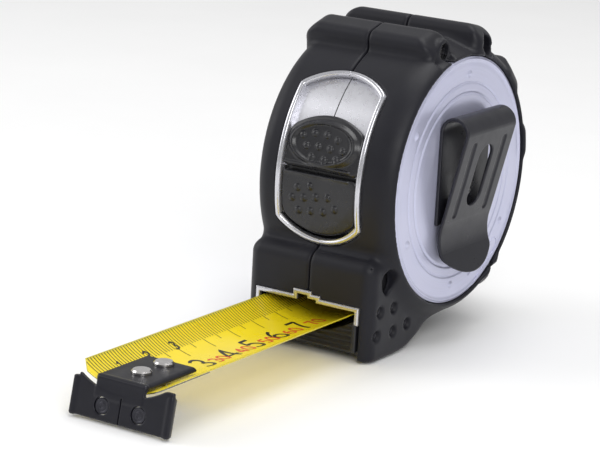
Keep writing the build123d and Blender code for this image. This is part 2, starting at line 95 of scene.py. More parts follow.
BLADE_CORNER = 2.55                             # the tip's two corners are cut off by this much
ARCH_CENTRE = BLADE_EDGE_Z + math.sqrt(BLADE_R ** 2 - BLADE_HALF ** 2)
DRUM_R = 34.1
NOSE_Y = -35.1                                  # front face of the nose


# ---- properties that a user would change ----
def length(name, description, default):
    return bpy.props.FloatProperty(
        name=name, description=description, default=default * MM, min=0.0,
        unit="LENGTH", subtype="DISTANCE", precision=5,
    )


def colour(name, description, default):
    return bpy.props.FloatVectorProperty(
        name=name, description=description, default=default, min=0.0, max=1.0, size=3, subtype="COLOR",
    )


def share(name, description, default):
    return bpy.props.FloatProperty(
        name=name, description=description, default=default, min=0.0, max=1.0, subtype="FACTOR",
    )


class TapeSizes(bpy.types.PropertyGroup):
    """Sizes of the pieces that dress the frame."""
    drum_radius: length("Drum radius", "Radius of the rubber drum", DRUM_R)
    drum_left: length("Drum left", "How far the drum reaches away from the belt clip", 17.8)
    shoulder: length("Shoulder", "Rounding between the drum and its side", 3.2)
    nose_half: length("Nose half width", "Half of the width of the nose", 18.0)
    nose_top: length("Nose top", "Height of the brow over the mouth", 25.2)
    brow_round: length("Brow rounding", "Rounding of the nose's front edges", 3.3)
    grip_step: length("Grip mesh size", "Mesh size of the rubber", 0.42)
    fine_step: length("Fine mesh size", "Mesh size of the buttons and the small pieces", 0.17)
    bead_half: length("Surround half width", "Half of the width of the silver surround", 0.64)
    bead_top: length("Surround height", "Radius of the silver surround's ridge on the drum", 34.85)
    button_bump: length("Button bump", "Radius of the bumps on the buttons", 0.95)
    tick_width: length("Tick width", "Width of a line on the blade", 0.22)
    numeral_stroke: length("Numeral stroke", "Width of a stroke of the large numerals", 0.85)
    ink_lift: length("Ink thickness", "Height of the printing over the blade", 0.025)


class TapeFinishes(bpy.types.PropertyGroup):
    """Colours and gloss."""
    rubber: colour("Rubber", "Overmoulded grip", (0.0080, 0.0080, 0.0125))
    rubber_rough: share("Rubber roughness", "Roughness of the grip", 0.46)
    button: colour("Button", "Slider and brake pad", (0.0115, 0.0115, 0.0145))
    silver: colour("Silver", "Surround, track and mouth frame", (0.62, 0.62, 0.66))
    plate: colour("Side plate", "Satin lavender silver of the round plates", (0.56, 0.57, 0.74))
    clip_paint: colour("Clip paint", "Dark satin paint of the belt clip", (0.017, 0.017, 0.023))
    hook_paint: colour("Hook paint", "Black satin paint of the end hook", (0.0075, 0.0075, 0.013))
    blade: colour("Blade", "Lacquer of the blade", (0.92, 0.72, 0.012))
    ink: colour("Ink", "Black printing", (0.012, 0.012, 0.012))
    red_ink: colour("Red ink", "Red printing", (0.70, 0.07, 0.02))
    steel: colour("Steel", "Bright steel", (0.60, 0.60, 0.60))
    floor: colour("Floor", "The pale floor", (0.93, 0.93, 0.93))


def sizes():
    return bpy.context.scene.tape_sizes


def finishes():
    return bpy.context.scene.tape_finishes


# ---- meshes ----
def mesh_object(name, points, faces, smooth=True):
    """A mesh object in the row frame; points are in millimetres, faces an array or a list of polygons."""
    mesh = bpy.data.meshes.new(name)
    points = np.asarray(points, float) * MM
    counts = np.array([len(face) for face in faces], np.int32)
    corner_list = np.concatenate([np.asarray(face, np.int32) for face in faces]) if len(faces) else []
    mesh.vertices.add(len(points))
    mesh.vertices.foreach_set("co", points.ravel())
    mesh.loops.add(len(corner_list))
    mesh.loops.foreach_set("vertex_index", corner_list)
    mesh.polygons.add(len(counts))
    mesh.polygons.foreach_set("loop_start", np.concatenate([[0], np.cumsum(counts)[:-1]]).astype(np.int32))
    mesh.polygons.foreach_set("loop_total", counts)
    mesh.update(calc_edges=True)
    mesh.validate()
    mesh.polygons.foreach_set("use_smooth", [smooth] * len(mesh.polygons))
    piece = bpy.data.objects.new(name, mesh)
    bpy.context.scene.collection.objects.link(piece)
    return piece


def project(points, field, step, passes=2):
    """Points moved onto the surface where the field is zero."""
    probe = 0.08 * step
    for _ in range(passes):
        here = field(*points.T)
        slope = np.stack([
            (field(*(points + probe * way).T) - field(*(points - probe * way).T)) / (2 * probe)
            for way in np.eye(3)
        ], axis=1)
        move = -(here / np.maximum((slope ** 2).sum(1), 0.05))[:, None] * slope
        reach = np.linalg.norm(move, axis=1, keepdims=True)
        points = points + move * np.minimum(1, 0.6 * step / np.maximum(reach, 1e-9))
    return points


def skin(name, low, high, step, field):
    """A smooth mesh where field(x, y, z) is zero; the field is in millimetres, and negative inside."""
    origin = np.array(low, float) - 1.5 * step
    lines = [np.arange(a, b + 1.5 * step, step) for a, b in zip(origin, high)]
    x, y, z = np.meshgrid(*lines, indexing="ij", sparse=True)
    value = np.array(np.broadcast_to(field(x, y, z), [len(line) for line in lines]), np.float32)
    inside = value < 0
    size = np.array(value.shape) - 1

    def block(array, shift):
        return array[tuple(slice(s, s + n) for s, n in zip(shift, size))]

    total = sum(block(inside.astype(np.int8), shift) for shift in np.ndindex(2, 2, 2))
    cells = np.argwhere((total > 0) & (total < 8))
    number = np.full(size, -1, np.int64)
    number[tuple(cells.T)] = np.arange(len(cells))
    points = np.zeros((len(cells), 3))
    hits = np.zeros(len(cells))
    for axis in range(3):
        way = np.eye(3, dtype=int)[axis]
        for first in np.ndindex(2, 2):
            start = cells + np.insert(first, axis, 0)
            a = value[tuple(start.T)].astype(float)
            b = value[tuple((start + way).T)].astype(float)
            crossed = (a < 0) != (b < 0)
            along = np.where(crossed, a / np.where(a == b, 1, a - b), 0)
            points += (start + along[:, None] * way) * crossed[:, None]
            hits += crossed
    points = origin + step * points / hits[:, None]
    quads = []
    for axis in range(3):
        u, v = (axis + 1) % 3, (axis + 2) % 3
        near = np.take(inside, range(0, size[axis]), axis)
        far = np.take(inside, range(1, size[axis] + 1), axis)
        edges = np.argwhere(near != far)
        beside = edges[:, (u, v)]
        edges = edges[((beside > 0) & (beside < size[[u, v]])).all(1)]
        ring = []
        for du, dv in ((-1, -1), (0, -1), (0, 0), (-1, 0)):
            cell = edges.copy()
            cell[:, u] += du
            cell[:, v] += dv
            ring.append(number[tuple(cell.T)])
        ring = np.stack(ring, axis=1)
        outward = near[tuple(edges.T)]
        quads.append(np.where(outward[:, None], ring, ring[:, ::-1]))
    return mesh_object(name, project(points, field, step), np.concatenate(quads))


def net(rows, closed_rows=False, closed_columns=False):
    """Quads over a grid of points that is given row by row."""
    count, width = rows.shape[:2]
    row = np.arange(count if closed_rows else count - 1)[:, None]
    column = np.arange(width if closed_columns else width - 1)[None, :]
    next_row = (row + 1) % count
    next_column = (column + 1) % width
    quads = np.stack([
        row * width + column,
        row * width + next_column,
        next_row * width + next_column,
        next_row * width + column,
    ], axis=-1)
    return quads.reshape(-1, 4)


def sweep(name, path, up, profile, closed=False):
    """A profile of (side, up) points drawn along a path whose up directions are given."""
    path = np.asarray(path, float)
    ahead = np.roll(path, -1, 0) - np.roll(path, 1, 0) if closed else np.gradient(path, axis=0)
    ahead /= np.linalg.norm(ahead, axis=1, keepdims=True)
    up = np.asarray(up, float)
    side = np.cross(ahead, up)
    side /= np.linalg.norm(side, axis=1, keepdims=True)
    profile = np.asarray(profile, float)
    rows = path[:, None] + side[:, None] * profile[None, :, :1] + up[:, None] * profile[None, :, 1:]
    quads = list(net(rows, closed_rows=closed, closed_columns=True))
    if not closed:
        width = len(profile)
        quads.append(np.arange(width)[::-1])
        quads.append(np.arange(width) + (len(path) - 1) * width)
    return mesh_object(name, rows.reshape(-1, 3), quads)


def lathe(name, profile, place, axis, turns=64):
    """A profile of (radius, height) points turned about an axis through a place."""
    axis = Vector(axis).normalized()
    across = np.array(axis.orthogonal().normalized())
    axis = np.array(axis)
    other = np.cross(axis, across)
    angle = np.linspace(0, 2 * math.pi, turns, endpoint=False)
    spoke = np.cos(angle)[:, None] * across + np.sin(angle)[:, None] * other
    profile = np.asarray(profile, float)
    rows = np.array(place, float) + spoke[:, None] * profile[None, :, :1] + axis * profile[None, :, 1:]
    return mesh_object(name, rows.reshape(-1, 3), net(rows, closed_rows=True))


def dressed(piece, body, finish, replaced=()):
    """The piece gets its finish, rides on its body and stands for the CAD nodes that it replaces."""
    if not len(piece.data.polygons):
        raise RuntimeError(f"{piece.name} came out empty")
    piece.data.materials.append(finish)
    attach(piece, body)
    if replaced:
        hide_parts(*replaced)
    return piece


# ---- fields: distances in millimetres, negative inside ----
def blend(a, b, k):
    """Both bodies, with a fillet of about k between them."""
    h = np.maximum(k - np.abs(a - b), 0) / k
    return np.minimum(a, b) - h * h * k / 4


def common(a, b, k):
    return -blend(-a, -b, k)


def carve(a, b, k):
    """a with b taken out of it."""
    return -blend(-a, b, k)


def rounded(qx, qy, edge):
    """Two distances joined in a rounded corner."""
    qx, qy = qx + edge, qy + edge
    return np.minimum(np.maximum(qx, qy), 0) + np.hypot(np.maximum(qx, 0), np.maximum(qy, 0)) - edge


def brick(x, y, z, low, high, edge):
    q = [np.maximum(a - p, p - b) + edge for p, a, b in zip((x, y, z), low, high)]
    out = np.sqrt(sum(np.maximum(v, 0) ** 2 for v in q))
    return out + np.minimum(np.maximum(np.maximum(q[0], q[1]), q[2]), 0) - edge


def rod(x, y, z, start, end, thick, thin):
    """A tapered round rod between two points."""
    start, end = np.array(start, float), np.array(end, float)
    line = end - start
    along = sum((p - s) * d for p, s, d in zip((x, y, z), start, line)) / (line @ line)
    along = np.clip(along, 0, 1)
    gap = np.sqrt(sum((p - s - along * d) ** 2 for p, s, d in zip((x, y, z), start, line)))
    return gap - thick - (thin - thick) * along


def polar(radius, degrees):
    """(y, z) on the drum at an angle over the horizontal, measured from its front."""
    turn = math.radians(degrees)
    return -radius * math.cos(turn), AXIS_Z + radius * math.sin(turn)


def panel_axes(y, z):
    """Heights along the button panel and depths out of it, from the reel's axis."""
    up = z - AXIS_Z
    climb = y * math.sin(PANEL_TILT) + up * math.cos(PANEL_TILT)
    depth = -y * math.cos(PANEL_TILT) + up * math.sin(PANEL_TILT)
    return climb, depth


def panel_height(degrees):
    return RIM_R * math.sin(math.radians(degrees) - PANEL_TILT)


def arc_through(half, side, middle):
    """Centre height and radius of the arc that is at side at a half width, and at middle in between."""
    rise = middle - side
    radius = (half ** 2 + rise ** 2) / (2 * abs(rise))
    return middle - math.copysign(radius, rise), radius


def shield(x, climb, half, low_side, low_mid, high_side, high_mid, corner):
    """An upright panel outline with arched ends; heights are angles on the drum."""
    low_side, low_mid, high_side, high_mid = map(panel_height, (low_side, low_mid, high_side, high_mid))
    outline = np.abs(x) - half
    if high_side == high_mid:
        top = climb - high_side
    else:
        centre, radius = arc_through(half, high_side, high_mid)
        top = np.hypot(x, np.maximum(climb - centre, 0)) - radius
    if low_side == low_mid:
        bottom = low_side - climb
    else:
        centre, radius = arc_through(half, low_side, low_mid)
        bottom = np.hypot(x, np.minimum(climb - centre, 0)) - radius
    return common(common(outline, top, corner), bottom, corner)


WINDOW = dict(half=12.0, low_side=-14.0, low_mid=-23.6, high_side=42.8, high_mid=51.5)
WINDOW_X = 0.6                                  # the button panel sits this far towards the belt clip
SLIDER = dict(half=10.5, low_side=7.7, low_mid=7.7, high_side=23.6, high_mid=30.4)
PAD = dict(half=10.5, low_side=-11.6, low_mid=-19.2, high_side=6.3, high_mid=6.3)


# ---- finishes ----
class Finish:
    """A node material under construction, with object coordinates in millimetres."""

    def __init__(self, name, base, roughness, metallic=0.0):
        self.material = bpy.data.materials.new(name)
        self.material.use_nodes = True
        self.tree = self.material.node_tree
        self.shader = self.tree.nodes["Principled BSDF"]
        self.base = tuple(base)
        self.shader.inputs["Base Color"].default_value = (*base, 1)
        self.shader.inputs["Roughness"].default_value = roughness
        self.shader.inputs["Metallic"].default_value = metallic
        self.roughness = roughness
        place = self.node("ShaderNodeTexCoord")
        self.place = self.stretch(place.outputs["Object"], (1 / MM,) * 3)
        self.last_bump = None

    def node(self, kind, **settings):
        made = self.tree.nodes.new(kind)
        for key, value in settings.items():
            setattr(made, key, value)
        return made

    def link(self, output, target):
        self.tree.links.new(output, target)

    def stretch(self, source, scale):
        mapping = self.node("ShaderNodeMapping")
        mapping.inputs["Scale"].default_value = scale
        self.link(source, mapping.inputs["Vector"])
        return mapping.outputs["Vector"]

    def noise(self, grain, detail=3.0, place=None, roughness=0.55):
        """A noise whose features are about grain millimetres across."""
        made = self.node("ShaderNodeTexNoise")
        made.inputs["Scale"].default_value = 1 / grain
        made.inputs["Detail"].default_value = detail
        made.inputs["Roughness"].default_value = roughness
        self.link(place or self.place, made.inputs["Vector"])
        return made.outputs["Fac"]

    def math(self, operation, a, b=None):
        made = self.node("ShaderNodeMath", operation=operation)
        for socket, value in zip(made.inputs, (a, b)):
            if value is None:
                continue
            if isinstance(value, (int, float)):
                socket.default_value = value
            else:
                self.link(value, socket)
        return made.outputs[0]

    def spread(self, source, low, high, from_low=0.3, from_high=0.7):
        made = self.node("ShaderNodeMapRange")
        made.inputs["From Min"].default_value = from_low
        made.inputs["From Max"].default_value = from_high
        made.inputs["To Min"].default_value = low
        made.inputs["To Max"].default_value = high
        self.link(source, made.inputs["Value"])
        return made.outputs["Result"]

    def mix(self, share_of_second, first, second):
        made = self.node("ShaderNodeMix", data_type="RGBA")
        sockets = (made.inputs[0], made.inputs[6], made.inputs[7])
        for socket, value in zip(sockets, (share_of_second, first, second)):
            if isinstance(value, (int, float)):
                socket.default_value = value
            elif isinstance(value, tuple):
                socket.default_value = (*value, 1)
            else:
                self.link(value, socket)
        return made.outputs[2]

    def tinted(self, factor):
        return tuple(min(1.0, c * factor) for c in self.base)

    def mottle(self, grain, amount):
        """The colour varies gently over patches about grain across."""
        self.colour = self.mix(
            self.spread(self.noise(grain, 4.0), 0.0, 1.0), self.tinted(1 - amount), self.tinted(1 + amount))
        self.link(self.colour, self.shader.inputs["Base Color"])
        return self

    def gloss_spread(self, grain, amount, place=None):
        """The roughness varies over patches about grain across."""
        varied = self.spread(
            self.noise(grain, 3.0, place), max(0.02, self.roughness - amount), self.roughness + amount)
        self.link(varied, self.shader.inputs["Roughness"])
        return self

    def relief(self, height, depth, strength=1.0):
        """Bumps of a depth in millimetres from a height between 0 and 1."""
        bump = self.node("ShaderNodeBump")
        bump.inputs["Distance"].default_value = depth * MM
        bump.inputs["Strength"].default_value = strength
        self.link(height, bump.inputs["Height"])
        if self.last_bump:
            self.link(self.last_bump, bump.inputs["Normal"])
        self.last_bump = bump.outputs["Normal"]
        self.link(self.last_bump, self.shader.inputs["Normal"])
        return self

    def worn_edges(self, lighter, from_low=0.52, from_high=0.62):
        """Edges rubbed lighter."""
        edge = self.node("ShaderNodeNewGeometry").outputs["Pointiness"]
        rubbed = self.math("MULTIPLY", self.spread(edge, 0.0, 1.0, from_low, from_high), self.noise(2.5, 4.0))
        self.colour = self.mix(rubbed, self.colour, self.tinted(lighter))
        self.link(self.colour, self.shader.inputs["Base Color"])
        return self


_finishes = {}


def finish(kind):
    """Each finish is made once."""
    if kind not in _finishes:
        _finishes[kind] = FINISH_MAKERS[kind]()
    return _finishes[kind]


def from_reel_axis(made):
    """Sockets of the coordinates, the height over the reel's axis and the distance from it."""
    split = made.node("ShaderNodeSeparateXYZ")
    made.link(made.place, split.inputs["Vector"])
    x, y, z = split.outputs
    up = made.math("SUBTRACT", z, AXIS_Z)
    radius = made.math("SQRT", made.math("ADD", made.math("MULTIPLY", y, y), made.math("MULTIPLY", up, up)))
    return x, y, z, up, radius


def soft_rubber():
    """Matt moulded rubber with a fine spark-eroded grain."""
    made = Finish("soft_rubber", finishes().rubber, finishes().rubber_rough)
    made.mottle(9.0, 0.10).gloss_spread(5.0, 0.05).relief(made.noise(0.35, 2.0), 0.012, 0.55)
    made.relief(made.noise(6.0, 2.0), 0.05, 0.35).worn_edges(1.7)
    made.shader.inputs["Specular IOR Level"].default_value = 0.26
    made.shader.inputs["Sheen Weight"].default_value = 0.06
    made.shader.inputs["Sheen Roughness"].default_value = 0.5
    return made.material


def button_rubber():
    """The harder, shinier black of the two buttons."""
    made = Finish("button_rubber", finishes().button, 0.30)
    made.mottle(4.0, 0.12).gloss_spread(2.5, 0.07).relief(made.noise(0.3, 2.0), 0.008, 0.5)
    made.worn_edges(2.2)
    return made.material


def silver_paint(made):
    """Metallic paint: fine flakes in colour and gloss."""
    flakes = made.noise(0.16, 2.0)
    made.colour = made.mix(made.spread(flakes, 0.0, 1.0), made.tinted(0.95), made.tinted(1.05))
    made.link(made.colour, made.shader.inputs["Base Color"])
    made.gloss_spread(1.2, 0.05)
    return made


def bright_silver():
    """Polished silver of the surround and the mouth frame."""
    made = Finish("bright_silver", finishes().silver, 0.20, 0.85)
    silver_paint(made).relief(made.noise(2.2, 2.0), 0.02, 0.4)
    made.shader.inputs["Coat Weight"].default_value = 0.35
    made.shader.inputs["Coat Roughness"].default_value = 0.12
    return made.material


def case_plastic():
    """The case: satin silver where it shows behind the slider and round the mouth; near black elsewhere as
    painted shade inside the mouth, and a thin line of painted shade along the seam.
    """
    made = Finish("case_plastic", finishes().silver, 0.30, 0.75)
    silver_paint(made)
    x, y, z, _, radius = from_reel_axis(made)
    outside = made.math(
        "MULTIPLY", made.math("GREATER_THAN", radius, TRACK_R - 0.4), made.math("LESS_THAN", y, -15.0))
    framed = made.math("LESS_THAN", y, -34.9)
    silver_not_shade = made.math("MAXIMUM", made.math("MULTIPLY", outside, made.math("GREATER_THAN", z, 26.5)), framed)
    # a thin line of painted shade along the seam between the two halves, where the gap lies in shadow
    seam = made.math("COMPARE", x, 0.45)
    seam.node.inputs[2].default_value = 0.14
    silver_not_shade = made.math("MULTIPLY", silver_not_shade, made.math("SUBTRACT", 1.0, seam))
    # the near black colour is painted shade inside the mouth, the silver paint everywhere else
    made.colour = made.mix(silver_not_shade, (0.012, 0.012, 0.014), made.colour)
    made.link(made.colour, made.shader.inputs["Base Color"])
    made.link(made.math("MULTIPLY", silver_not_shade, 0.75), made.shader.inputs["Metallic"])
    return made.material


def plate_lacquer():
    """Satin lavender lacquer over a plate turned on a lathe: faint rings in gloss and height."""
    made = Finish("plate_lacquer", finishes().plate, 0.34, 0.45)
    _, y, _, up, radius = from_reel_axis(made)
    angle = made.math("ARCTAN2", up, y)
    turned = made.node("ShaderNodeCombineXYZ")
    made.link(made.math("MULTIPLY", radius, 4.0), turned.inputs[0])
    made.link(made.math("MULTIPLY", angle, 1.2), turned.inputs[1])
    rings = made.noise(1.0, 3.0, turned.outputs[0])
    made.colour = made.mix(made.spread(rings, 0.0, 1.0), made.tinted(0.95), made.tinted(1.05))
    warmer = tuple(c * f for c, f in zip(made.base, (1.06, 1.05, 1.0)))
    made.colour = made.mix(made.spread(made.noise(14.0, 2.0), 0.0, 0.5), made.colour, warmer)
    made.link(made.colour, made.shader.inputs["Base Color"])
    made.gloss_spread(1.0, 0.05, turned.outputs[0]).relief(rings, 0.004, 0.6)
    made.shader.inputs["Coat Weight"].default_value = 0.25
    made.shader.inputs["Coat Roughness"].default_value = 0.2
    return made.material


def painted_steel(name, base, roughness):
    """Baked satin paint on sheet steel: slight orange peel, edges rubbed thin."""
    made = Finish(name, base, roughness, 0.15)
    made.mottle(5.0, 0.10).gloss_spread(3.0, 0.06)
    made.relief(made.noise(0.9, 2.0), 0.015, 0.4).relief(made.noise(0.18, 1.0), 0.004, 0.4)
    made.worn_edges(2.0)
    made.shader.inputs["Specular IOR Level"].default_value = 0.4
    return made.material


def clip_paint():
    return painted_steel("clip_paint", finishes().clip_paint, 0.33)


def hook_paint():
    return painted_steel("hook_paint", finishes().hook_paint, 0.36)


def polished_steel(name, base, roughness, scratches):
    """Bright steel with fine handling scratches."""
    made = Finish(name, base, roughness, 1.0)
    made.mottle(1.5, 0.08)
    fine = made.noise(0.5, 2.0, made.stretch(made.place, (1.0, 0.06, 1.0)))
    made.gloss_spread(0.8, 0.06).relief(fine, scratches, 0.5)
    return made.material


def rivet_steel():
    return polished_steel("rivet_steel", (0.78, 0.76, 0.75), 0.16, 0.003)


def bright_steel():
    return polished_steel("bright_steel", finishes().steel, 0.30, 0.006)


def spring_steel():
    return polished_steel("spring_steel", (0.30, 0.32, 0.36), 0.28, 0.006)


def magnet_steel():
    return polished_steel("magnet_steel", (0.055, 0.055, 0.065), 0.38, 0.006)


def blade_lacquer():
    """Glossy yellow lacquer on the steel blade, a little greener and darker at its bare edges."""
    made = Finish("blade_lacquer", finishes().blade, 0.30)
    made.mottle(16.0, 0.05).gloss_spread(6.0, 0.06)
    made.relief(made.noise(3.5, 2.0), 0.012, 0.35)
    edge = made.node("ShaderNodeNewGeometry").outputs["Pointiness"]
    made.colour = made.mix(made.spread(edge, 0.0, 0.55, 0.51, 0.56), made.colour, (0.45, 0.42, 0.02))
    made.link(made.colour, made.shader.inputs["Base Color"])
    made.shader.inputs["Coat Weight"].default_value = 0.3
    made.shader.inputs["Coat Roughness"].default_value = 0.15
    return made.material


def coiled_blade():
    """The wound blade: yellow edges of the turns with thin lines of painted shade between them."""
    made = Finish("coiled_blade", finishes().blade, 0.4)
    *_, radius = from_reel_axis(made)
    wave = made.math("SINE", made.math("MULTIPLY", radius, 2 * math.pi / (2 * BLADE_T)))
    # the darker tint between the turns is painted shade
    made.colour = made.mix(made.spread(wave, 0.0, 1.0, -0.6, 0.4), made.tinted(0.25), made.tinted(0.95))
    made.link(made.colour, made.shader.inputs["Base Color"])
    made.gloss_spread(2.0, 0.06).relief(wave, 0.02, 0.6)
    return made.material


def printing(name, base):
    """Printed ink: thin, slightly uneven."""
    made = Finish(name, base, 0.38)
    worn = made.spread(made.noise(0.45, 4.0), 0.0, 0.35, 0.45, 0.8)
    thin = tuple(0.55 * c + 0.10 * b for c, b in zip(made.base, finishes().blade))
    made.colour = made.mix(worn, made.base, thin)
    made.link(made.colour, made.shader.inputs["Base Color"])
    made.gloss_spread(1.5, 0.05)
    return made.material


def black_ink():
    return printing("black_ink", finishes().ink)


def red_ink():
    return printing("red_ink", finishes().red_ink)


def white_ink():
    return printing("white_ink", (0.75, 0.75, 0.72))


def inner_plastic():
    """Black moulded plastic of the inner pieces and the lower lip."""
    made = Finish("inner_plastic", (0.014, 0.014, 0.017), 0.42)
    made.mottle(4.0, 0.15).gloss_spread(2.5, 0.07).relief(made.noise(0.4, 2.0), 0.01, 0.5)
    return made.material


FINISH_MAKERS = {maker.__name__: maker for maker in (
    soft_rubber, button_rubber, bright_silver, case_plastic, plate_lacquer, clip_paint, hook_paint,
    rivet_steel, bright_steel, spring_steel, magnet_steel, blade_lacquer, coiled_blade,
    black_ink, red_ink, white_ink, inner_plastic,
)}


# ---- rubber grip ----
# (y, z) on the nose's sides
DIMPLES = ((-30.6, 12.5), (-24.4, 12.4), (-17.7, 7.0), (-24.2, 6.4), (-31.6, 6.7))


def roll_bars(body, x, y, z, up):
    """Bumpers across the drum with sloping ends, and a round boss at each screw."""
    for degrees, right, top in zip(BAR_ANGLES, BAR_RIGHTS, BAR_TOPS):
        turn = math.radians(degrees)
        out = -y * math.cos(turn) + up * math.sin(turn)
        along = y * math.sin(turn) + up * math.cos(turn)
        bar = brick(x, along, out, (BAR_LEFT, -4.5, 28.5), (right, 4.5, top), 2.6)
        slope = np.maximum(x - right, BAR_LEFT - x) + out - top + 3.4
        body = blend(body, common(bar, slope / math.sqrt(2), 1.2), 1.8)
    for degrees in SCREW_ANGLES:
        by, bz = polar(SCREW_CENTRE_R, degrees)
        boss = rounded(np.hypot(y - by, z - bz) - 2.95, np.maximum(x - BOSS_X, -x - 17.6), 0.4)
        body = blend(body, boss, 0.6)
    return body


def screw_sockets(body, x, y, z):
    for degrees in SCREW_ANGLES:
        by, bz = polar(SCREW_CENTRE_R, degrees)
        gap = np.hypot(y - by, z - bz)
        around = np.maximum(gap - 2.5, BOSS_X + 0.02 - x)
        body = carve(body, around, 0.25)
        body = carve(body, np.maximum(gap - 2.0, 14.6 - np.abs(x)), 0.3)
        collar = np.hypot(gap - 2.3, x - BOSS_X) - 0.26
        body = blend(body, collar, 0.25)
    return body


def cut_shoulder(body, x, y, up, r):
    """The clip side's shoulder is cut down to a slope between the two upper bumpers."""
    turn = np.degrees(np.arctan2(up, -y))
    slope = (r - DRUM_R + (x - 12.0) * 0.29) / 1.04
    sector = (np.abs(turn - 89.5) - 22.5) * 0.58
    return carve(body, np.maximum(-slope, sector), 0.5)


def nose_sides(body, x, y, z):
    """The leaf-shaped recess and the studs in their pits, on both sides of the nose."""
    across = np.abs(x) - sizes().nose_half / MM
    leaf = np.maximum(np.hypot(y + 26.8, z - 19.7), np.hypot(y + 29.8, z - 19.7)) - 3.7
    body = carve(body, common(leaf, -1.4 - across, 0.8), 0.4)
    for dy, dz in DIMPLES:
        pit = np.sqrt((across - 0.1) ** 2 + (y - dy) ** 2 + (z - dz) ** 2) - 1.5
        stud = np.sqrt((across + 1.3) ** 2 + (y - dy) ** 2 + (z - dz) ** 2) - 0.85
        body = blend(carve(body, pit, 0.25), stud, 0.2)
    return body


def mouth_outline(x, z, grow):
    """The silver frame round the blade's way out: a flat top with two low steps."""
    outline = rounded(np.abs(x) - 13.65 - grow, np.abs(z - 7.0) - 5.8 - grow, 0.2)
    for x0, x1, top in ((-2.9, 0.1, 14.3), (0.1, 2.6, 13.55)):
        step = rounded(np.abs(x - (x0 + x1) / 2) - (x1 - x0) / 2 - grow, np.abs(z - top + 3) - 3 - grow, 0.15)
        outline = np.minimum(outline, step)
    return outline


def grip_field(side):
    """The rubber on one side of the seam; side is 1 towards the belt clip and -1 away from it."""
    s = sizes()
    drum_r, drum_left, shoulder = s.drum_radius / MM, s.drum_left / MM, s.shoulder / MM
    drum_half = PLATE_HIGH[0] + 0.1
    nose_half, nose_top, brow = s.nose_half / MM, s.nose_top / MM, s.brow_round / MM

    def field(x, y, z):
        up = z - AXIS_Z
        r = np.hypot(y, up)
        across = np.abs(x)
        if side > 0:
            body = rounded(r - drum_r, (x - drum_half) * 0.45, shoulder)
            body = cut_shoulder(body, x, y, up, r)
        else:
            body = rounded(r - drum_r, (-x - drum_left) * 0.8, shoulder)
        nose = brick(x, y, z, (-nose_half, NOSE_Y, -8), (nose_half, 3, nose_top), brow)
        heel = np.hypot(np.maximum(y + 24.1, 0), np.minimum(z - 25.4, 0)) - 25.55
        body = blend(body, common(nose, heel, 1.5), 3.0)
        keel = brick(x, y, z, (-6.0, -28, -6), (6.0, 14, 12), 1.5)
        keel = common(keel, ((y - 14) * 7 - z * 3) / 7.62, 3)
        body = blend(body, keel, 2.5)
        body = roll_bars(body, x, y, z, up)
        body = common(body, -z, 1.4)
        climb, depth = panel_axes(y, z)
        opening = shield(x - WINDOW_X, climb, corner=1.6, **WINDOW)
        body = carve(body, np.maximum(opening, 20 - depth), 0.5)
        body = carve(body, r - PLATE_R - 0.2, 0.5)
        body = carve(body, np.maximum(r - 32.0, across - 17.65), 0.2)
        body = carve(body, brick(x, y, z, (-16.45, -33.5, 1.7), (16.45, 0, 23.6), 0.3), 0.2)
        body = carve(body, np.maximum(mouth_outline(x, z, 1.1), y + 30.0), 0.2)
        body = carve(body, brick(x, y, z, LIP_LOW - 0.06, LIP_HIGH + 0.06, 0.2), 0.2)
        body = screw_sockets(body, x, y, z)
        body = nose_sides(body, x, y, z)
        if side > 0:
            crease = rod(x, y, z, (1.2, -32.6, nose_top + 0.3), (14.5, -32.6, nose_top + 0.3), 0.4, 0.4)
            body = carve(body, crease, 0.25)
        return common(body, 0.12 - side * x, 0.7)

    return field


# ---- silver surround ----
def window_path(inset, gap):
    """The right half of the surround's middle line on the drum, from the top to the bottom."""
    half = WINDOW["half"] - inset
    low_side, low_mid, high_side, high_mid = (
        panel_height(WINDOW[key]) for key in ("low_side", "low_mid", "high_side", "high_mid"))
    top_centre, top_r = arc_through(WINDOW["half"], high_side, high_mid)
    low_centre, low_r = arc_through(WINDOW["half"], low_side, low_mid)
    top_r, low_r = top_r - inset, low_r - inset
    top_turn, low_turn = math.asin(half / top_r), math.asin(half / low_r)
    spots = [(top_r * math.sin(t), top_centre + top_r * math.cos(t)) for t in np.linspace(0, top_turn, 60)]
    high, low = spots[-1][1], low_centre - low_r * math.cos(low_turn)
    spots += [(half, v) for v in np.linspace(high, low, 90)[1:-1]]
    spots += [(low_r * math.sin(t), low_centre - low_r * math.cos(t)) for t in np.linspace(low_turn, 0, 60)]
    spots = np.array(spots)
    run = np.concatenate([[0], np.cumsum(np.linalg.norm(np.diff(spots, axis=0), axis=1))])
    even = np.linspace(0, run[-1], 260)
    spots = np.stack([np.interp(even, run, spots[:, k]) for k in (0, 1)], axis=1)
    weights = np.exp(-0.5 * (np.arange(-6, 7) / 2.4) ** 2)
    padded = np.pad(spots, ((6, 6), (0, 0)), mode="reflect", reflect_type="odd")
    for k in (0, 1):
        spots[:, k] = np.convolve(padded[:, k], weights / weights.sum(), mode="valid")
    spots[:, 0] = np.maximum(spots[:, 0], gap)
    return spots


def on_drum(x, climb, radius):
    """Points on the drum at panel heights, and the directions out of it."""
    depth = np.sqrt(radius ** 2 - climb ** 2)
    y = -depth * math.cos(PANEL_TILT) + climb * math.sin(PANEL_TILT)
    up = depth * math.sin(PANEL_TILT) + climb * math.cos(PANEL_TILT)
    out = np.stack([np.zeros_like(y), y / radius, up / radius], axis=1)
    return np.stack([x, y, AXIS_Z + up], axis=1), out


def bead_profile(half, top, foot):
    """A low rounded ridge between two feet."""
    turn = np.linspace(0, math.pi, 15)
    ridge = [(half * np.sign(math.cos(t)) * abs(math.cos(t)) ** 0.7, top * math.sin(t) ** 0.6) for t in turn]
    return [(half, foot)] + ridge + [(-half, foot)]


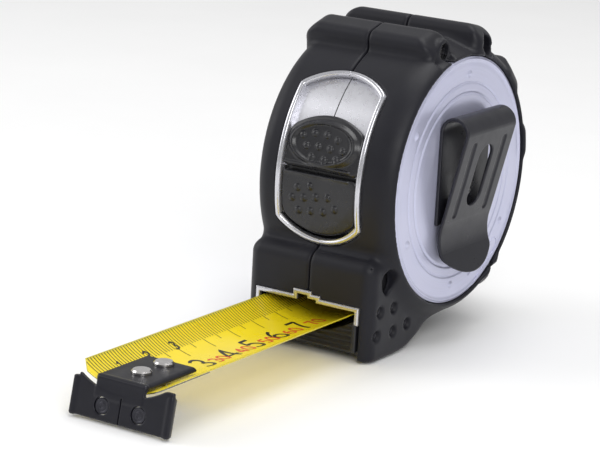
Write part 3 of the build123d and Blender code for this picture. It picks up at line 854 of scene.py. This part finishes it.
def mouth_frame_field(x, y, z):
    band = common(mouth_outline(x, z, 1.0), -mouth_outline(x, z, 0.02), 0.12)
    band = common(band, 9.5 - z, 0.2)
    return common(band, np.maximum(-35.62 - y, y + 34.4), 0.3)


# ---- buttons ----
def stud_heights(x, climb, places, radius, height):
    """Rounded studs on a button's face."""
    total = 0.0
    for sx, sv in places:
        gap = np.hypot(x - sx, climb - sv) / radius
        total = total + height * np.clip(1 - gap ** 2, 0, 1) ** 0.6
    return total


SLIDER_STUDS = (
    (-6.2, 4.1), (-3.0, 5.0), (0.4, 5.0), (3.6, 4.2), (-4.6, 1.7), (-1.3, 1.9), (2.0, 1.8), (5.6, 1.8),
    (-2.6, -0.8), (0.9, -1.0), (4.2, -0.5),
)
PAD_STUDS = (
    (-5.9, -8.6), (-2.4, -7.8), (-7.4, -11.2), (-4.1, -10.8), (-0.8, -10.2), (2.6, -9.8), (-5.6, -14.0),
    (-2.2, -13.7), (1.3, -13.4), (4.7, -12.2),
)


def slider_height(x, climb):
    """Radius of the slider's face: an oval rim round a dish, and a low step down to two ridges."""
    middle = panel_height(18.6)
    oval = np.hypot(x / 9.1, (climb - middle) / 5.2)
    face = 34.15 + 0.0 * x
    face = face + 0.95 * np.exp(-((oval - 0.97) / 0.10) ** 2)
    face = face + 0.35 * np.clip((1.0 - oval) * 4, 0, 1) * np.clip(oval, 0.35, 1)
    ridge = np.exp(-((climb - panel_height(9.2)) / 0.38) ** 2) * np.clip((8.6 - x) * 1.5, 0, 1)
    face = face + 0.5 * ridge
    return face + stud_heights(x, climb, SLIDER_STUDS, sizes().button_bump / MM, 0.62)


def pad_height(x, climb):
    """Radius of the brake pad's face: gently hollow, with a ridge along its top."""
    ridge = np.exp(-((climb - panel_height(5.5)) / 0.42) ** 2) * np.clip((8.6 - x) * 1.5, 0, 1)
    low = panel_height(-19.2)
    hollow = np.hypot(x / 9.0, (climb + 9.5) / 7.5)
    face = 34.15 + 0.45 * ridge - 0.35 * np.clip(1 - hollow, 0, 1)
    face = face + 0.25 * np.clip((low + 4 - climb) / 4, 0, 1)
    return face + stud_heights(x, climb, PAD_STUDS, sizes().button_bump / MM, 0.62)


def button_field(outline, face, floor):
    def field(x, y, z):
        climb, _ = panel_axes(y, z)
        r = np.hypot(y, z - AXIS_Z)
        shape = shield(x - WINDOW_X, climb, corner=1.4, **outline)
        body = rounded(shape, (r - face(x - WINDOW_X, climb)) * 0.85, 0.55)
        return common(body, floor - r, 0.3)

    return field


# ---- side plates ----
PIP_R = 26.4                                     # the six pips stand at this radius


def plate_profile(radius):
    """How far the plate's face stands out at a radius, in millimetres from the middle plane."""
    face = np.interp(radius, (0, 21.4, 24.3, 28.4, 29.6, PLATE_R), (20.30, 20.30, 20.12, 20.05, 19.95, 19.9))
    for groove, depth, width in ((21.7, 0.32, 0.30), (24.3, 0.28, 0.28)):
        face = face - depth * np.exp(-((radius - groove) / width) ** 2)
    face = face + 0.42 * np.exp(-((radius - 30.05) / 0.42) ** 2)
    return face


def side_plate(name, side):
    """A plate turned about the reel's axis, with six pips near its rim."""
    radii = np.unique(np.concatenate([
        np.linspace(0.02, 21.0, 14), np.linspace(21.0, 25.2, 36), np.linspace(25.2, 28.6, 20),
        np.linspace(28.6, PLATE_R - 0.35, 16),
    ]))
    angles = np.linspace(0, 2 * math.pi, 480, endpoint=False)
    radius, angle = np.meshgrid(radii, angles)
    inward = 0.0 if side > 0 else PLATE_HIGH[0] + corners("side_plate_left")[0][0]
    face = plate_profile(radius) - inward
    for index in range(6):
        turn = math.radians(87 + 60 * index)
        pip_y, pip_up = PIP_R * math.cos(turn), PIP_R * math.sin(turn)
        gap = np.hypot(radius * np.cos(angle) - pip_y, radius * np.sin(angle) - pip_up)
        face = face + 0.5 * np.clip(1 - (gap / 0.85) ** 2, 0, 1) ** 0.6
    turns = np.linspace(0.2, math.pi / 2, 5)
    edge = [(PLATE_R - 0.2 + 0.2 * math.sin(t), -0.25 + 0.25 * math.cos(t)) for t in turns]
    edge += [(PLATE_R, -1.2), (PLATE_R, -2.3)]
    edge_radius = np.tile([e[0] for e in edge], (len(angles), 1))
    edge_face = plate_profile(PLATE_R - 0.35) - inward + np.tile([e[1] for e in edge], (len(angles), 1))
    radius = np.hstack([radius, edge_radius])
    face = np.hstack([face, edge_face])
    angle = np.tile(angles[:, None], (1, radius.shape[1]))
    rows = np.stack([side * face, radius * np.cos(angle), AXIS_Z + radius * np.sin(angle)], axis=-1)
    faces = net(rows, closed_rows=True)
    if side > 0:
        faces = faces[:, ::-1]
    return mesh_object(name, rows.reshape(-1, 3), faces)


def label_frame():
    """A plain raised outline low on the clip side's plate, with a rounded end."""
    start, end, half = np.array((8.5, -27.3)), np.array((19.6, -20.0)), 1.75
    ahead = (end - start) / np.linalg.norm(end - start)
    side = np.array((-ahead[1], ahead[0]))
    spots = [start - half * side, end - half * side]
    spots += [end + half * (math.sin(t) * ahead - math.cos(t) * side) for t in np.linspace(0, math.pi, 14)]
    spots += [start + half * side]
    spots = np.array(spots)
    run = np.concatenate([[0], np.cumsum(np.linalg.norm(np.diff(spots, axis=0), axis=1))])
    even = np.linspace(0, run[-1], 120)
    flat = np.stack([np.interp(even, run, spots[:, k]) for k in (0, 1)], axis=1)
    face = plate_profile(np.hypot(*flat.T))
    path = np.stack([face, flat[:, 0], AXIS_Z + flat[:, 1]], axis=1)
    turn = np.linspace(0, 2 * math.pi, 8, endpoint=False)
    up = np.tile((1.0, 0.0, 0.0), (len(path), 1))
    return sweep("label_frame", path, up, np.stack([0.16 * np.cos(turn), 0.14 * np.sin(turn)], axis=1))


# ---- belt clip ----
def arc_points(start, middle, end, count):
    """Points on the circle through three points, from the first to the last."""
    (ax, ay), (bx, by), (cx, cy) = start, middle, end
    d = 2 * (ax * (by - cy) + bx * (cy - ay) + cx * (ay - by))
    a2, b2, c2 = ax ** 2 + ay ** 2, bx ** 2 + by ** 2, cx ** 2 + cy ** 2
    ux = (a2 * (by - cy) + b2 * (cy - ay) + c2 * (ay - by)) / d
    uy = (a2 * (cx - bx) + b2 * (ax - cx) + c2 * (bx - ax)) / d
    first, mid, last = (math.atan2(p[1] - uy, p[0] - ux) for p in (start, middle, end))
    turn = (last - first) % (2 * math.pi)
    if (mid - first) % (2 * math.pi) > turn:
        turn -= 2 * math.pi
    radius = math.hypot(ax - ux, ay - uy)
    return [(ux + radius * math.cos(first + turn * t), uy + radius * math.sin(first + turn * t))
            for t in np.linspace(0, 1, count)]


CLIP_T = 0.9
CLIP_BACK_X = CLIP_LOW[0] + CLIP_T / 2
TONGUE_TOP = (27.95, 13.9)
TONGUE_FOOT = (22.6, -8.5)


def clip_line():
    """The clip's middle line in (x, height over the axis): back leaf, bend, tongue, flared tip."""
    line = [(CLIP_BACK_X, -9.0)]
    line += arc_points((CLIP_BACK_X, 13.6), (24.35, 17.5), TONGUE_TOP, 22)
    line += arc_points(TONGUE_FOOT, (21.95, -12.6), (22.6, -16.5), 12)
    line += [(25.6, -22.2)]
    return line


def clip_field():
    line = clip_line()
    half = CLIP_HIGH[1]
    tip_centre, tip_r = arc_through(half, -17.5, -22.1)
    lean = math.hypot(TONGUE_TOP[0] - TONGUE_FOOT[0], TONGUE_TOP[1] - TONGUE_FOOT[1])
    out_x = (TONGUE_TOP[1] - TONGUE_FOOT[1]) / lean
    out_z = -(TONGUE_TOP[0] - TONGUE_FOOT[0]) / lean

    def field(x, y, z):
        up = z - AXIS_Z
        gap = np.inf
        for (x0, z0), (x1, z1) in zip(line, line[1:]):
            dx, dz = x1 - x0, z1 - z0
            along = np.clip(((x - x0) * dx + (up - z0) * dz) / (dx * dx + dz * dz), 0, 1)
            gap = np.minimum(gap, np.hypot(x - x0 - along * dx, up - z0 - along * dz))
        outline = np.abs(y) - half
        tip = np.hypot(y, np.minimum(up - tip_centre, 0)) - tip_r
        outline = common(outline, tip, 0.8)
        body = rounded(gap - CLIP_T / 2, outline, 0.3)
        face = (x - TONGUE_TOP[0]) * out_x + (up - TONGUE_TOP[1]) * out_z
        slot = np.hypot(y, np.maximum(np.abs(up - 2.3) - 4.6, 0)) - 3.3
        body = carve(body, common(slot, CLIP_LOW[0] + 1.5 - x, 0.1), 0.35)
        groove = np.hypot(np.abs(y) - 7.4, np.maximum(np.abs(up - 2.0) - 8.8, 0)) - 0.95
        body = carve(body, common(groove, 0.08 - face, 0.3), 0.3)
        hole = np.hypot(y, up) - 1.7
        return carve(body, np.maximum(hole, x - CLIP_LOW[0] - 1.5), 0.2)

    return field


# ---- mouth lip ----
def arch_height(x, lift=0.0):
    """Height of the blade's upper face across its width."""
    radius = BLADE_R - BLADE_T - lift
    return ARCH_CENTRE - np.sqrt(radius ** 2 - x ** 2)


def lip_field(x, y, z):
    ribs = 0.28 * (1 + np.cos(2 * math.pi * (z - 3.6) / 1.3))
    body = brick(x, y - ribs * np.clip((13.4 - np.abs(x)) * 2, 0, 1), z, LIP_LOW + 0.05, LIP_HIGH - 0.05, 0.4)
    return common(body, BLADE_R + 1.5 - np.hypot(x, z - ARCH_CENTRE), 0.4)


# ---- blade ----
def blade_section(share_across, y):
    """(x, z) of the blade's underside at a share -1 to 1 of its half width, flattening towards the coil."""
    half = np.minimum(BLADE_HALF, BLADE_HALF - BLADE_CORNER + (y - BLADE_LOW[1]))
    x = half * share_across
    z = ARCH_CENTRE - np.sqrt(BLADE_R ** 2 - x ** 2)
    flat = np.clip((y - BLADE_BEND_Y) / (BLADE_FLAT_Y - BLADE_BEND_Y), 0, 1)
    flat_x = 13.4 * share_across
    flat_z = 10.75 + 400 - np.sqrt(400 ** 2 - flat_x ** 2)
    return x + (flat_x - x) * flat, z + (flat_z - z) * flat


def blade_mesh():
    """The blade as one closed strip."""
    tip, end = BLADE_LOW[1], BLADE_HIGH[1]
    full = tip + BLADE_CORNER
    lines = np.concatenate([
        np.linspace(tip, full, 9)[:-1],
        np.arange(full, BLADE_BEND_Y, 1.2),
        np.linspace(BLADE_BEND_Y, end, 10),
    ])
    shares = np.linspace(-1, 1, 45)
    share_grid, y = np.meshgrid(shares, lines)
    x, z = blade_section(share_grid, y)
    lower = np.stack([x, y, z], axis=-1)
    upper = lower + (0, 0, BLADE_T)
    loop = np.concatenate([lower, upper[:, ::-1]], axis=1)
    quads = list(net(loop, closed_columns=True)[:, ::-1])
    width = loop.shape[1]
    quads.append(np.arange(width))
    quads.append((np.arange(width) + (len(lines) - 1) * width)[::-1])
    return mesh_object("blade", loop.reshape(-1, 3), quads)


def squashed(piece):
    """The piece gets a mesh of its own."""
    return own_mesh(piece)


def stroke_quads(spots, width, points, faces):
    """A ribbon of a stroke's width along (right, up) points, added to a numeral."""
    spots = np.asarray(spots, float)
    run = np.concatenate([[0], np.cumsum(np.linalg.norm(np.diff(spots, axis=0), axis=1))])
    ahead = np.gradient(spots, axis=0)
    ahead /= np.linalg.norm(ahead, axis=1, keepdims=True)
    side = np.stack([-ahead[:, 1], ahead[:, 0]], axis=1) * width / 2
    base = len(points)
    rows = np.stack([spots - side, spots, spots + side], axis=1)
    points.extend(rows.reshape(-1, 2))
    for i in range(len(run) - 1):
        for j in (0, 1):
            a = base + 3 * i + j
            faces.append((a, a + 1, a + 4, a + 3))


def bow(cx, cy, rx, ry, first, last):
    """Points on an oval arc, angles in degrees from the right, turning left."""
    turn = np.radians(np.linspace(first, last, max(6, int(abs(last - first) / 12))))
    return list(zip(cx + rx * np.cos(turn), cy + ry * np.sin(turn)))


def straight(*corners_of_line):
    """Points along a broken line, close enough together to follow the arch."""
    spots = []
    for a, b in zip(corners_of_line, corners_of_line[1:]):
        spots += [tuple(np.array(a) + (np.array(b) - np.array(a)) * t) for t in np.linspace(0, 1, 7)[:-1]]
    return spots + [corners_of_line[-1]]


NUMERALS = {                                     # strokes in a box 0.62 wide and 1 high
    "0": [bow(0.31, 0.5, 0.26, 0.46, 90, 450)],
    "1": [straight((0.10, 0.74), (0.34, 0.96)), straight((0.34, 1.0), (0.34, 0.0))],
    "2": [bow(0.30, 0.68, 0.25, 0.28, 165, -35) + straight((0.45, 0.46), (0.06, 0.05)),
          straight((0.02, 0.05), (0.60, 0.05))],
    "3": [bow(0.28, 0.73, 0.24, 0.23, 150, -80), bow(0.29, 0.27, 0.27, 0.24, 85, -150)],
    "4": [straight((0.44, 0.0), (0.44, 0.98), (0.04, 0.30)), straight((0.02, 0.28), (0.62, 0.28))],
    "5": [straight((0.56, 0.95), (0.16, 0.95)), straight((0.16, 0.98), (0.10, 0.52)),
          bow(0.29, 0.32, 0.27, 0.28, 135, -145)],
    "6": [bow(0.56, 0.42, 0.51, 0.53, 108, 172), bow(0.31, 0.29, 0.25, 0.25, 90, 450)],
    "7": [straight((0.03, 0.95), (0.58, 0.95)), straight((0.56, 0.97), (0.36, 0.45), (0.22, 0.0))],
}


def printed(name, marks, lift):
    """Marks in (along the blade, towards the -X edge) laid on the blade's upper face as a thin film."""
    points, faces = marks
    points = np.array(points)
    x, y = -points[:, 1], points[:, 0]
    spots = np.stack([x, y, arch_height(x, lift)], axis=1)
    return mesh_object(name, spots, faces, smooth=False)


def write_numerals(text, along, across, height, stroke, marks):
    """Numerals that read from the hook towards the case, their tops towards the -X edge."""
    points, faces = marks
    for place, numeral in enumerate(text):
        for spots in NUMERALS[numeral]:
            spots = [(along + (place * 0.74 + u) * height, across + v * height) for u, v in spots]
            stroke_quads(spots, stroke, points, faces)


def scale_lines(marks, width):
    """A line at every millimetre from the tip, longer at fives and tens."""
    points, faces = marks
    count = int(BLADE_BEND_Y - BLADE_LOW[1])
    for index in range(2, count):
        y = BLADE_LOW[1] + index
        reach = 8.9 if index % 10 == 0 else 6.9 if index % 5 == 0 else 5.2
        start = BLADE_HALF - 0.25 - max(0, BLADE_CORNER - index)
        spots = [(y, start - reach * t) for t in np.linspace(0, 1, 9)]
        stroke_quads(spots, width, points, faces)


# ---- hook ----
HOOK_BEND = (-108.8, 10.4)                       # (y, z) of the bend between the plate and the face
HOOK_LEAN = math.radians(12.4)                   # the face leans out towards its foot
MAGNET_XS = (-4.2, 5.8)
MAGNET_Z = 3.9
MAGNET_R = 1.85


def upright(y, z, lean=HOOK_LEAN):
    """Places on the hook's leaning face as if it stood upright; a negative lean turns them back."""
    ahead, rise = y - HOOK_BEND[0], z - HOOK_BEND[1]
    return (HOOK_BEND[0] + ahead * math.cos(lean) - rise * math.sin(lean),
            HOOK_BEND[1] + ahead * math.sin(lean) + rise * math.cos(lean))


def hook_field(x, y, z):
    """The end hook: a plate on the blade, a strap over its end and a wide face with turned ends."""
    face_y, top = HOOK_BEND
    plate = brick(x, y, z, (-7.0, face_y + 0.7, top - 1.0), (7.0, -89.8, top), 0.45)
    slope = ((x - 7.0) + (z - top)) / math.sqrt(2) + 0.55
    plate = common(plate, slope, 0.5)
    y, z = upright(y, z)
    strap = brick(x, y, z, (-6.6, face_y, 5.5), (6.6, face_y + 1.1, top), 0.45)
    body = blend(plate, strap, 1.2)
    front = brick(x, y, z, (-12.6, face_y, 0.6), (14.2, face_y + 1.1, 10.6), 0.4)
    scoop = np.hypot(x, z - ARCH_CENTRE) - BLADE_R - 0.6
    front = carve(front, scoop, 0.4)
    front = carve(front, np.maximum(x + 11.3, 9.0 - z), 0.3)
    right = brick(x, y, z, (13.0, face_y, 0.6), (14.2, face_y + 2.0, 9.4), 0.5)
    left = brick(x, y, z, (-12.6, face_y, 0.6), (-11.5, face_y + 2.0, 9.2), 0.4)
    body = blend(body, blend(blend(front, right, 0.8), left, 0.8), 0.4)
    split = np.maximum(np.abs(x - 0.8) - 0.14, np.maximum(y - face_y - 0.45, z - 6.6))
    body = carve(body, split, 0.25)
    for mx in MAGNET_XS:
        hole = np.hypot(x - mx, z - MAGNET_Z) - MAGNET_R - 0.15
        body = carve(body, np.maximum(hole, y - face_y - 1.6), 0.25)
    return body


def rivet_profile():
    """A low polished head with a flat top and a rolled edge."""
    base = RIVET_TOP - 0.95
    turns = np.linspace(-0.9, math.pi / 2, 12)
    rolled = [(1.75 + 0.6 * math.cos(t), 0.42 + 0.5 * math.sin(t)) for t in turns]
    return base, [(1.3, -2.4), (1.3, 0.0)] + rolled + [(0.9, 0.93), (0.01, 0.93)]


# ---- operators ----
class TapeOperator(bpy.types.Operator):
    """Shared by the tape's operators"""
    bl_options = {"REGISTER", "UNDO"}

    def execute(self, context):
        self.make()
        return {"FINISHED"}


class TAPE_OT_grip(TapeOperator):
    """Mould the two halves of the rubber grip"""
    bl_idname = "tape.grip"
    bl_label = "Rubber grip"

    def make(self):
        for node, side in (("grip_left", -1), ("grip_right", 1)):
            low, high = corners(node)
            margin = np.array((0.6, 0.5, 0.0))
            step = sizes().grip_step / MM
            piece = skin(f"rubber_{node}", low - margin, high + margin, step, grip_field(side))
            dressed(piece, "case", finish("soft_rubber"), [node])


class TAPE_OT_surround(TapeOperator):
    """Lay the silver surround of the buttons and the frame of the mouth"""
    bl_idname = "tape.surround"
    bl_label = "Silver surround"

    def make(self):
        spots = window_path(0.62, 0.07)
        half = sizes().bead_half / MM
        base = sizes().bead_top / MM - 0.75
        for name, side in (("surround_left", -1), ("surround_right", 1)):
            path, out = on_drum(WINDOW_X + side * spots[:, 0], spots[:, 1], base)
            piece = sweep(name, path, out, bead_profile(half, 0.75, -0.8)[::side])
            dressed(piece, "case", finish("bright_silver"))
        piece = skin("mouth_frame", (-14.9, -35.7, 9.3), (14.9, -34.3, 15.6), 0.14, mouth_frame_field)
        dressed(piece, "case", finish("bright_silver"))


class TAPE_OT_buttons(TapeOperator):
    """Mould the lock slider and the brake pad"""
    bl_idname = "tape.buttons"
    bl_label = "Slider and brake pad"

    def make(self):
        step = sizes().fine_step / MM
        for node, body, outline, face, floor in (
            ("lock_slider", "lock", SLIDER, slider_height, TRACK_R + 0.2),
            ("brake_button", "brake", PAD, pad_height, TRACK_R + 0.5),
        ):
            low, high = corners(node)
            low[1] = min(low[1], -35.6)
            high[1] = -panel_depth_limit(outline)
            piece = skin(f"{node}_moulding", low - 0.3, high + 0.3, step, button_field(outline, face, floor))
            dressed(piece, body, finish("button_rubber"), [node])
        floor = (0, *(np.array(polar(32.1, PRESS_TILT)) * MM))
        for side, replaced in ((-1, ["brake_springs"]), (1, [])):
            leaf = dressed(brake_leaf(side), "case", finish("spring_steel"), replaced)
            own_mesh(leaf)


def brake_leaf(side):
    """A bowed steel leaf under the brake pad."""
    share_along = np.linspace(0, 1, 25)
    spots = [(5.6 * side, *polar(32.45 + 0.85 * math.sin(math.pi * t), -14 + 14 * t)) for t in share_along]
    ups = [(0.0, *(np.array(polar(1.0, -14 + 14 * t)) - (0, AXIS_Z))) for t in share_along]
    name = "brake_leaf_right" if side > 0 else "brake_leaf_left"
    return sweep(name, spots, ups, [(0.7, -0.12), (0.7, 0.12), (-0.7, 0.12), (-0.7, -0.12)])


def panel_depth_limit(outline):
    """How far back, in millimetres before the axis, the button reaches at its highest or lowest point."""
    reach = [RIM_R * math.cos(math.radians(outline[key])) for key in ("low_mid", "high_mid")]
    return min(reach) - 2.5


class TAPE_OT_side_plates(TapeOperator):
    """Turn the two round side plates and lay the plain outline on one of them"""
    bl_idname = "tape.side_plates"
    bl_label = "Side plates"

    def make(self):
        for node, side in (("side_plate_left", -1), ("side_plate_right", 1)):
            piece = side_plate(f"turned_{node}", side)
            dressed(piece, "case", finish("plate_lacquer"), [node])
        dressed(label_frame(), "case", finish("plate_lacquer"))


class TAPE_OT_belt_clip(TapeOperator):
    """Bend the belt clip"""
    bl_idname = "tape.belt_clip"
    bl_label = "Belt clip"

    def make(self):
        piece = skin("bent_belt_clip", CLIP_LOW - 0.2, CLIP_HIGH + 0.2, 0.22, clip_field())
        dressed(piece, "case", finish("clip_paint"), ["belt_clip"])


class TAPE_OT_mouth_lip(TapeOperator):
    """Mould the ribbed lower lip of the mouth"""
    bl_idname = "tape.mouth_lip"
    bl_label = "Mouth lip"

    def make(self):
        piece = skin("ribbed_mouth_lip", LIP_LOW - 0.2, LIP_HIGH + 0.2, 0.2, lip_field)
        dressed(piece, "case", finish("inner_plastic"), ["mouth_lip"])


class TAPE_OT_blade(TapeOperator):
    """Form the blade and print its scale"""
    bl_idname = "tape.blade"
    bl_label = "Blade and printing"

    def make(self):
        s = sizes()
        tip = BLADE_LOW[1]
        dressed(blade_mesh(), "blade", finish("blade_lacquer"), ["blade_strip"])
        squashed(bpy.data.objects["blade"])
        black = ([], [])
        scale_lines(black, s.tick_width / MM)
        for count in (1, 2, 3):
            write_numerals(str(count), tip + 10 * count - 0.8, 7.0, 2.7, 0.45, black)
        for count in (3, 4, 5, 6, 7):
            write_numerals(str(count), tip + 10 * count - 4.3, -4.7, 6.6, s.numeral_stroke / MM, black)
        red = ([], [])
        for count in (3, 4, 5, 6, 7):
            write_numerals(f"{count}0", tip + 10 * count + 0.4, -4.4, 3.9, 0.62, red)
        white = ([], [])
        stroke_quads([(y, -0.4) for y in np.linspace(-88.6, -84.4, 4)], 2.4, *white)
        for name, marks, ink in (("black_scale", black, "black_ink"), ("red_numerals", red, "red_ink"),
                                 ("white_patch", white, "white_ink")):
            piece = printed(name, marks, s.ink_lift / MM)
            squashed(dressed(piece, "blade", finish(ink)))


class TAPE_OT_hook(TapeOperator):
    """Bend the end hook and head its rivets"""
    bl_idname = "tape.hook"
    bl_label = "End hook"

    def make(self):
        piece = skin("bent_hook", HOOK_LOW - 0.2, HOOK_HIGH + 0.2, 0.2, hook_field)
        dressed(piece, "hook", finish("hook_paint"), ["hook"])
        base, profile = rivet_profile()
        for index, y in enumerate((-101.4, -93.2)):
            piece = lathe(f"rivet_head_{index + 1}", profile, (0, y, base), (0, 0, 1))
            dressed(piece, "blade", finish("rivet_steel"))
        for index, x in enumerate(MAGNET_XS):
            disc = [(MAGNET_R, 1.2), (MAGNET_R, 0.15), (1.7, 0.0), (1.3, 0.0), (1.2, 0.14), (0.95, 0.14),
                    (0.85, 0.0), (0.5, 0.0), (0.35, 0.2), (0.01, 0.22)]
            place = (x, *upright(HOOK_BEND[0] + 0.25, MAGNET_Z, -HOOK_LEAN))
            inward = (0, math.cos(HOOK_LEAN), -math.sin(HOOK_LEAN))
            piece = lathe(f"magnet_face_{index + 1}", disc[::-1], place, inward)
            dressed(piece, "hook", finish("magnet_steel"))


PLAIN_FINISHES = {
    "case_left": "case_plastic", "case_right": "case_plastic", "hook_buffers": "soft_rubber",
    "spring_arbor": "bright_steel", "case_screws": "bright_steel", "clip_screw": "bright_steel",
    "reel_drum": "inner_plastic", "reel_cap": "inner_plastic",
    "blade_coil": "coiled_blade", "blade_anchor": "spring_steel", "power_spring": "spring_steel",
    "tip_stiffener": "spring_steel", "hook_rivets": "rivet_steel", "hook_magnets": "magnet_steel",
    "lock_carrier": "bright_steel", "lock_shoe": "inner_plastic",
}


class TAPE_OT_plain_parts(TapeOperator):
    """Finish the parts that keep the shape of the frame"""
    bl_idname = "tape.plain_parts"
    bl_label = "Inner parts"

    def make(self):
        for node, kind in PLAIN_FINISHES.items():
            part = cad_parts[node]
            part.data.materials.clear()
            part.data.materials.append(finish(kind))
            for polygon in part.data.polygons:
                polygon.material_index = 0


def area_light(name, place, target, size, power, tint=(1, 1, 1)):
    light = bpy.data.lights.new(name, "AREA")
    light.shape = "RECTANGLE"
    light.size, light.size_y = size
    light.energy = power
    light.color = tint
    lamp = bpy.data.objects.new(name, light)
    lamp.location = place
    lamp.rotation_euler = (Vector(target) - Vector(place)).to_track_quat("-Z", "Y").to_euler()
    bpy.context.scene.collection.objects.link(lamp)
    return lamp


class TAPE_OT_stage(TapeOperator):
    """Lay the floor and set the lights and the camera"""
    bl_idname = "tape.stage"
    bl_label = "Stage"

    def make(self):
        scene = bpy.context.scene
        scene.view_settings.view_transform = "Standard"
        half = 1500
        rows = np.array([[(x, y, -0.02) for x in (-half, half)] for y in (-half, half)])
        floor = mesh_object("floor", rows.reshape(-1, 3), net(rows), smooth=False)
        made = Finish("pale_floor", finishes().floor, 0.75)
        made.mottle(60.0, 0.01).relief(made.noise(1.5, 2.0), 0.01, 0.2)
        floor.data.materials.append(made.material)
        world = bpy.data.worlds.new("studio")
        world.use_nodes = True
        world.node_tree.nodes["Background"].inputs["Color"].default_value = (1, 1, 1, 1)
        world.node_tree.nodes["Background"].inputs["Strength"].default_value = 0.5
        scene.world = world
        lights = [
            area_light("window_light", (0.55, -0.55, 0.50), (0, 0, 0.03), (0.45, 0.45), 3.0),
            area_light("left_light", (-0.75, -0.35, 0.45), (0, -0.04, 0.03), (0.5, 0.7), 2.6),
            area_light("top_light", (0.05, 0.15, 0.85), (0, 0, 0.03), (0.6, 0.5), 3.2),
        ]
        lens = bpy.data.cameras.new("camera")
        lens.lens = 151.16
        lens.sensor_width = 36
        lens.clip_start = 0.01
        camera = bpy.data.objects.new("camera", lens)
        ahead = Vector((-0.52298, 0.81525, -0.24869)).normalized()
        up = Vector((-0.17887, 0.18030, 0.96721)).normalized()
        right = ahead.cross(up).normalized()
        up = right.cross(ahead)
        turn = Matrix((right, up, -ahead)).transposed()
        camera.matrix_world = Matrix.Translation(Vector((313.14, -528.31, 181.57)) * MM) @ turn.to_4x4()
        scene.collection.objects.link(camera)
        scene.camera = camera


OPERATORS = (
    TAPE_OT_grip, TAPE_OT_surround, TAPE_OT_buttons, TAPE_OT_side_plates, TAPE_OT_belt_clip,
    TAPE_OT_mouth_lip, TAPE_OT_blade, TAPE_OT_hook, TAPE_OT_plain_parts, TAPE_OT_stage,
)


class TAPE_PT_panel(bpy.types.Panel):
    """Sidebar panel with the tape's pieces and its settings"""
    bl_idname = "TAPE_PT_panel"
    bl_label = "Tape measure"
    bl_space_type = "VIEW_3D"
    bl_region_type = "UI"
    bl_category = "Tape measure"

    def draw(self, context):
        for operator in OPERATORS:
            self.layout.operator(operator.bl_idname)
        for group in (context.scene.tape_sizes, context.scene.tape_finishes):
            box = self.layout.box()
            for name in group.__annotations__:
                box.prop(group, name)


CLASSES = (TapeSizes, TapeFinishes, *OPERATORS, TAPE_PT_panel)


def register():
    for item in CLASSES:
        bpy.utils.register_class(item)
    bpy.types.Scene.tape_sizes = bpy.props.PointerProperty(type=TapeSizes)
    bpy.types.Scene.tape_finishes = bpy.props.PointerProperty(type=TapeFinishes)


def unregister():
    del bpy.types.Scene.tape_finishes
    del bpy.types.Scene.tape_sizes
    for item in reversed(CLASSES):
        bpy.utils.unregister_class(item)


def main():
    register()
    for operator in OPERATORS:
        group, name = operator.bl_idname.split(".")
        getattr(getattr(bpy.ops, group), name)()


if __name__ == "__main__":
    main()
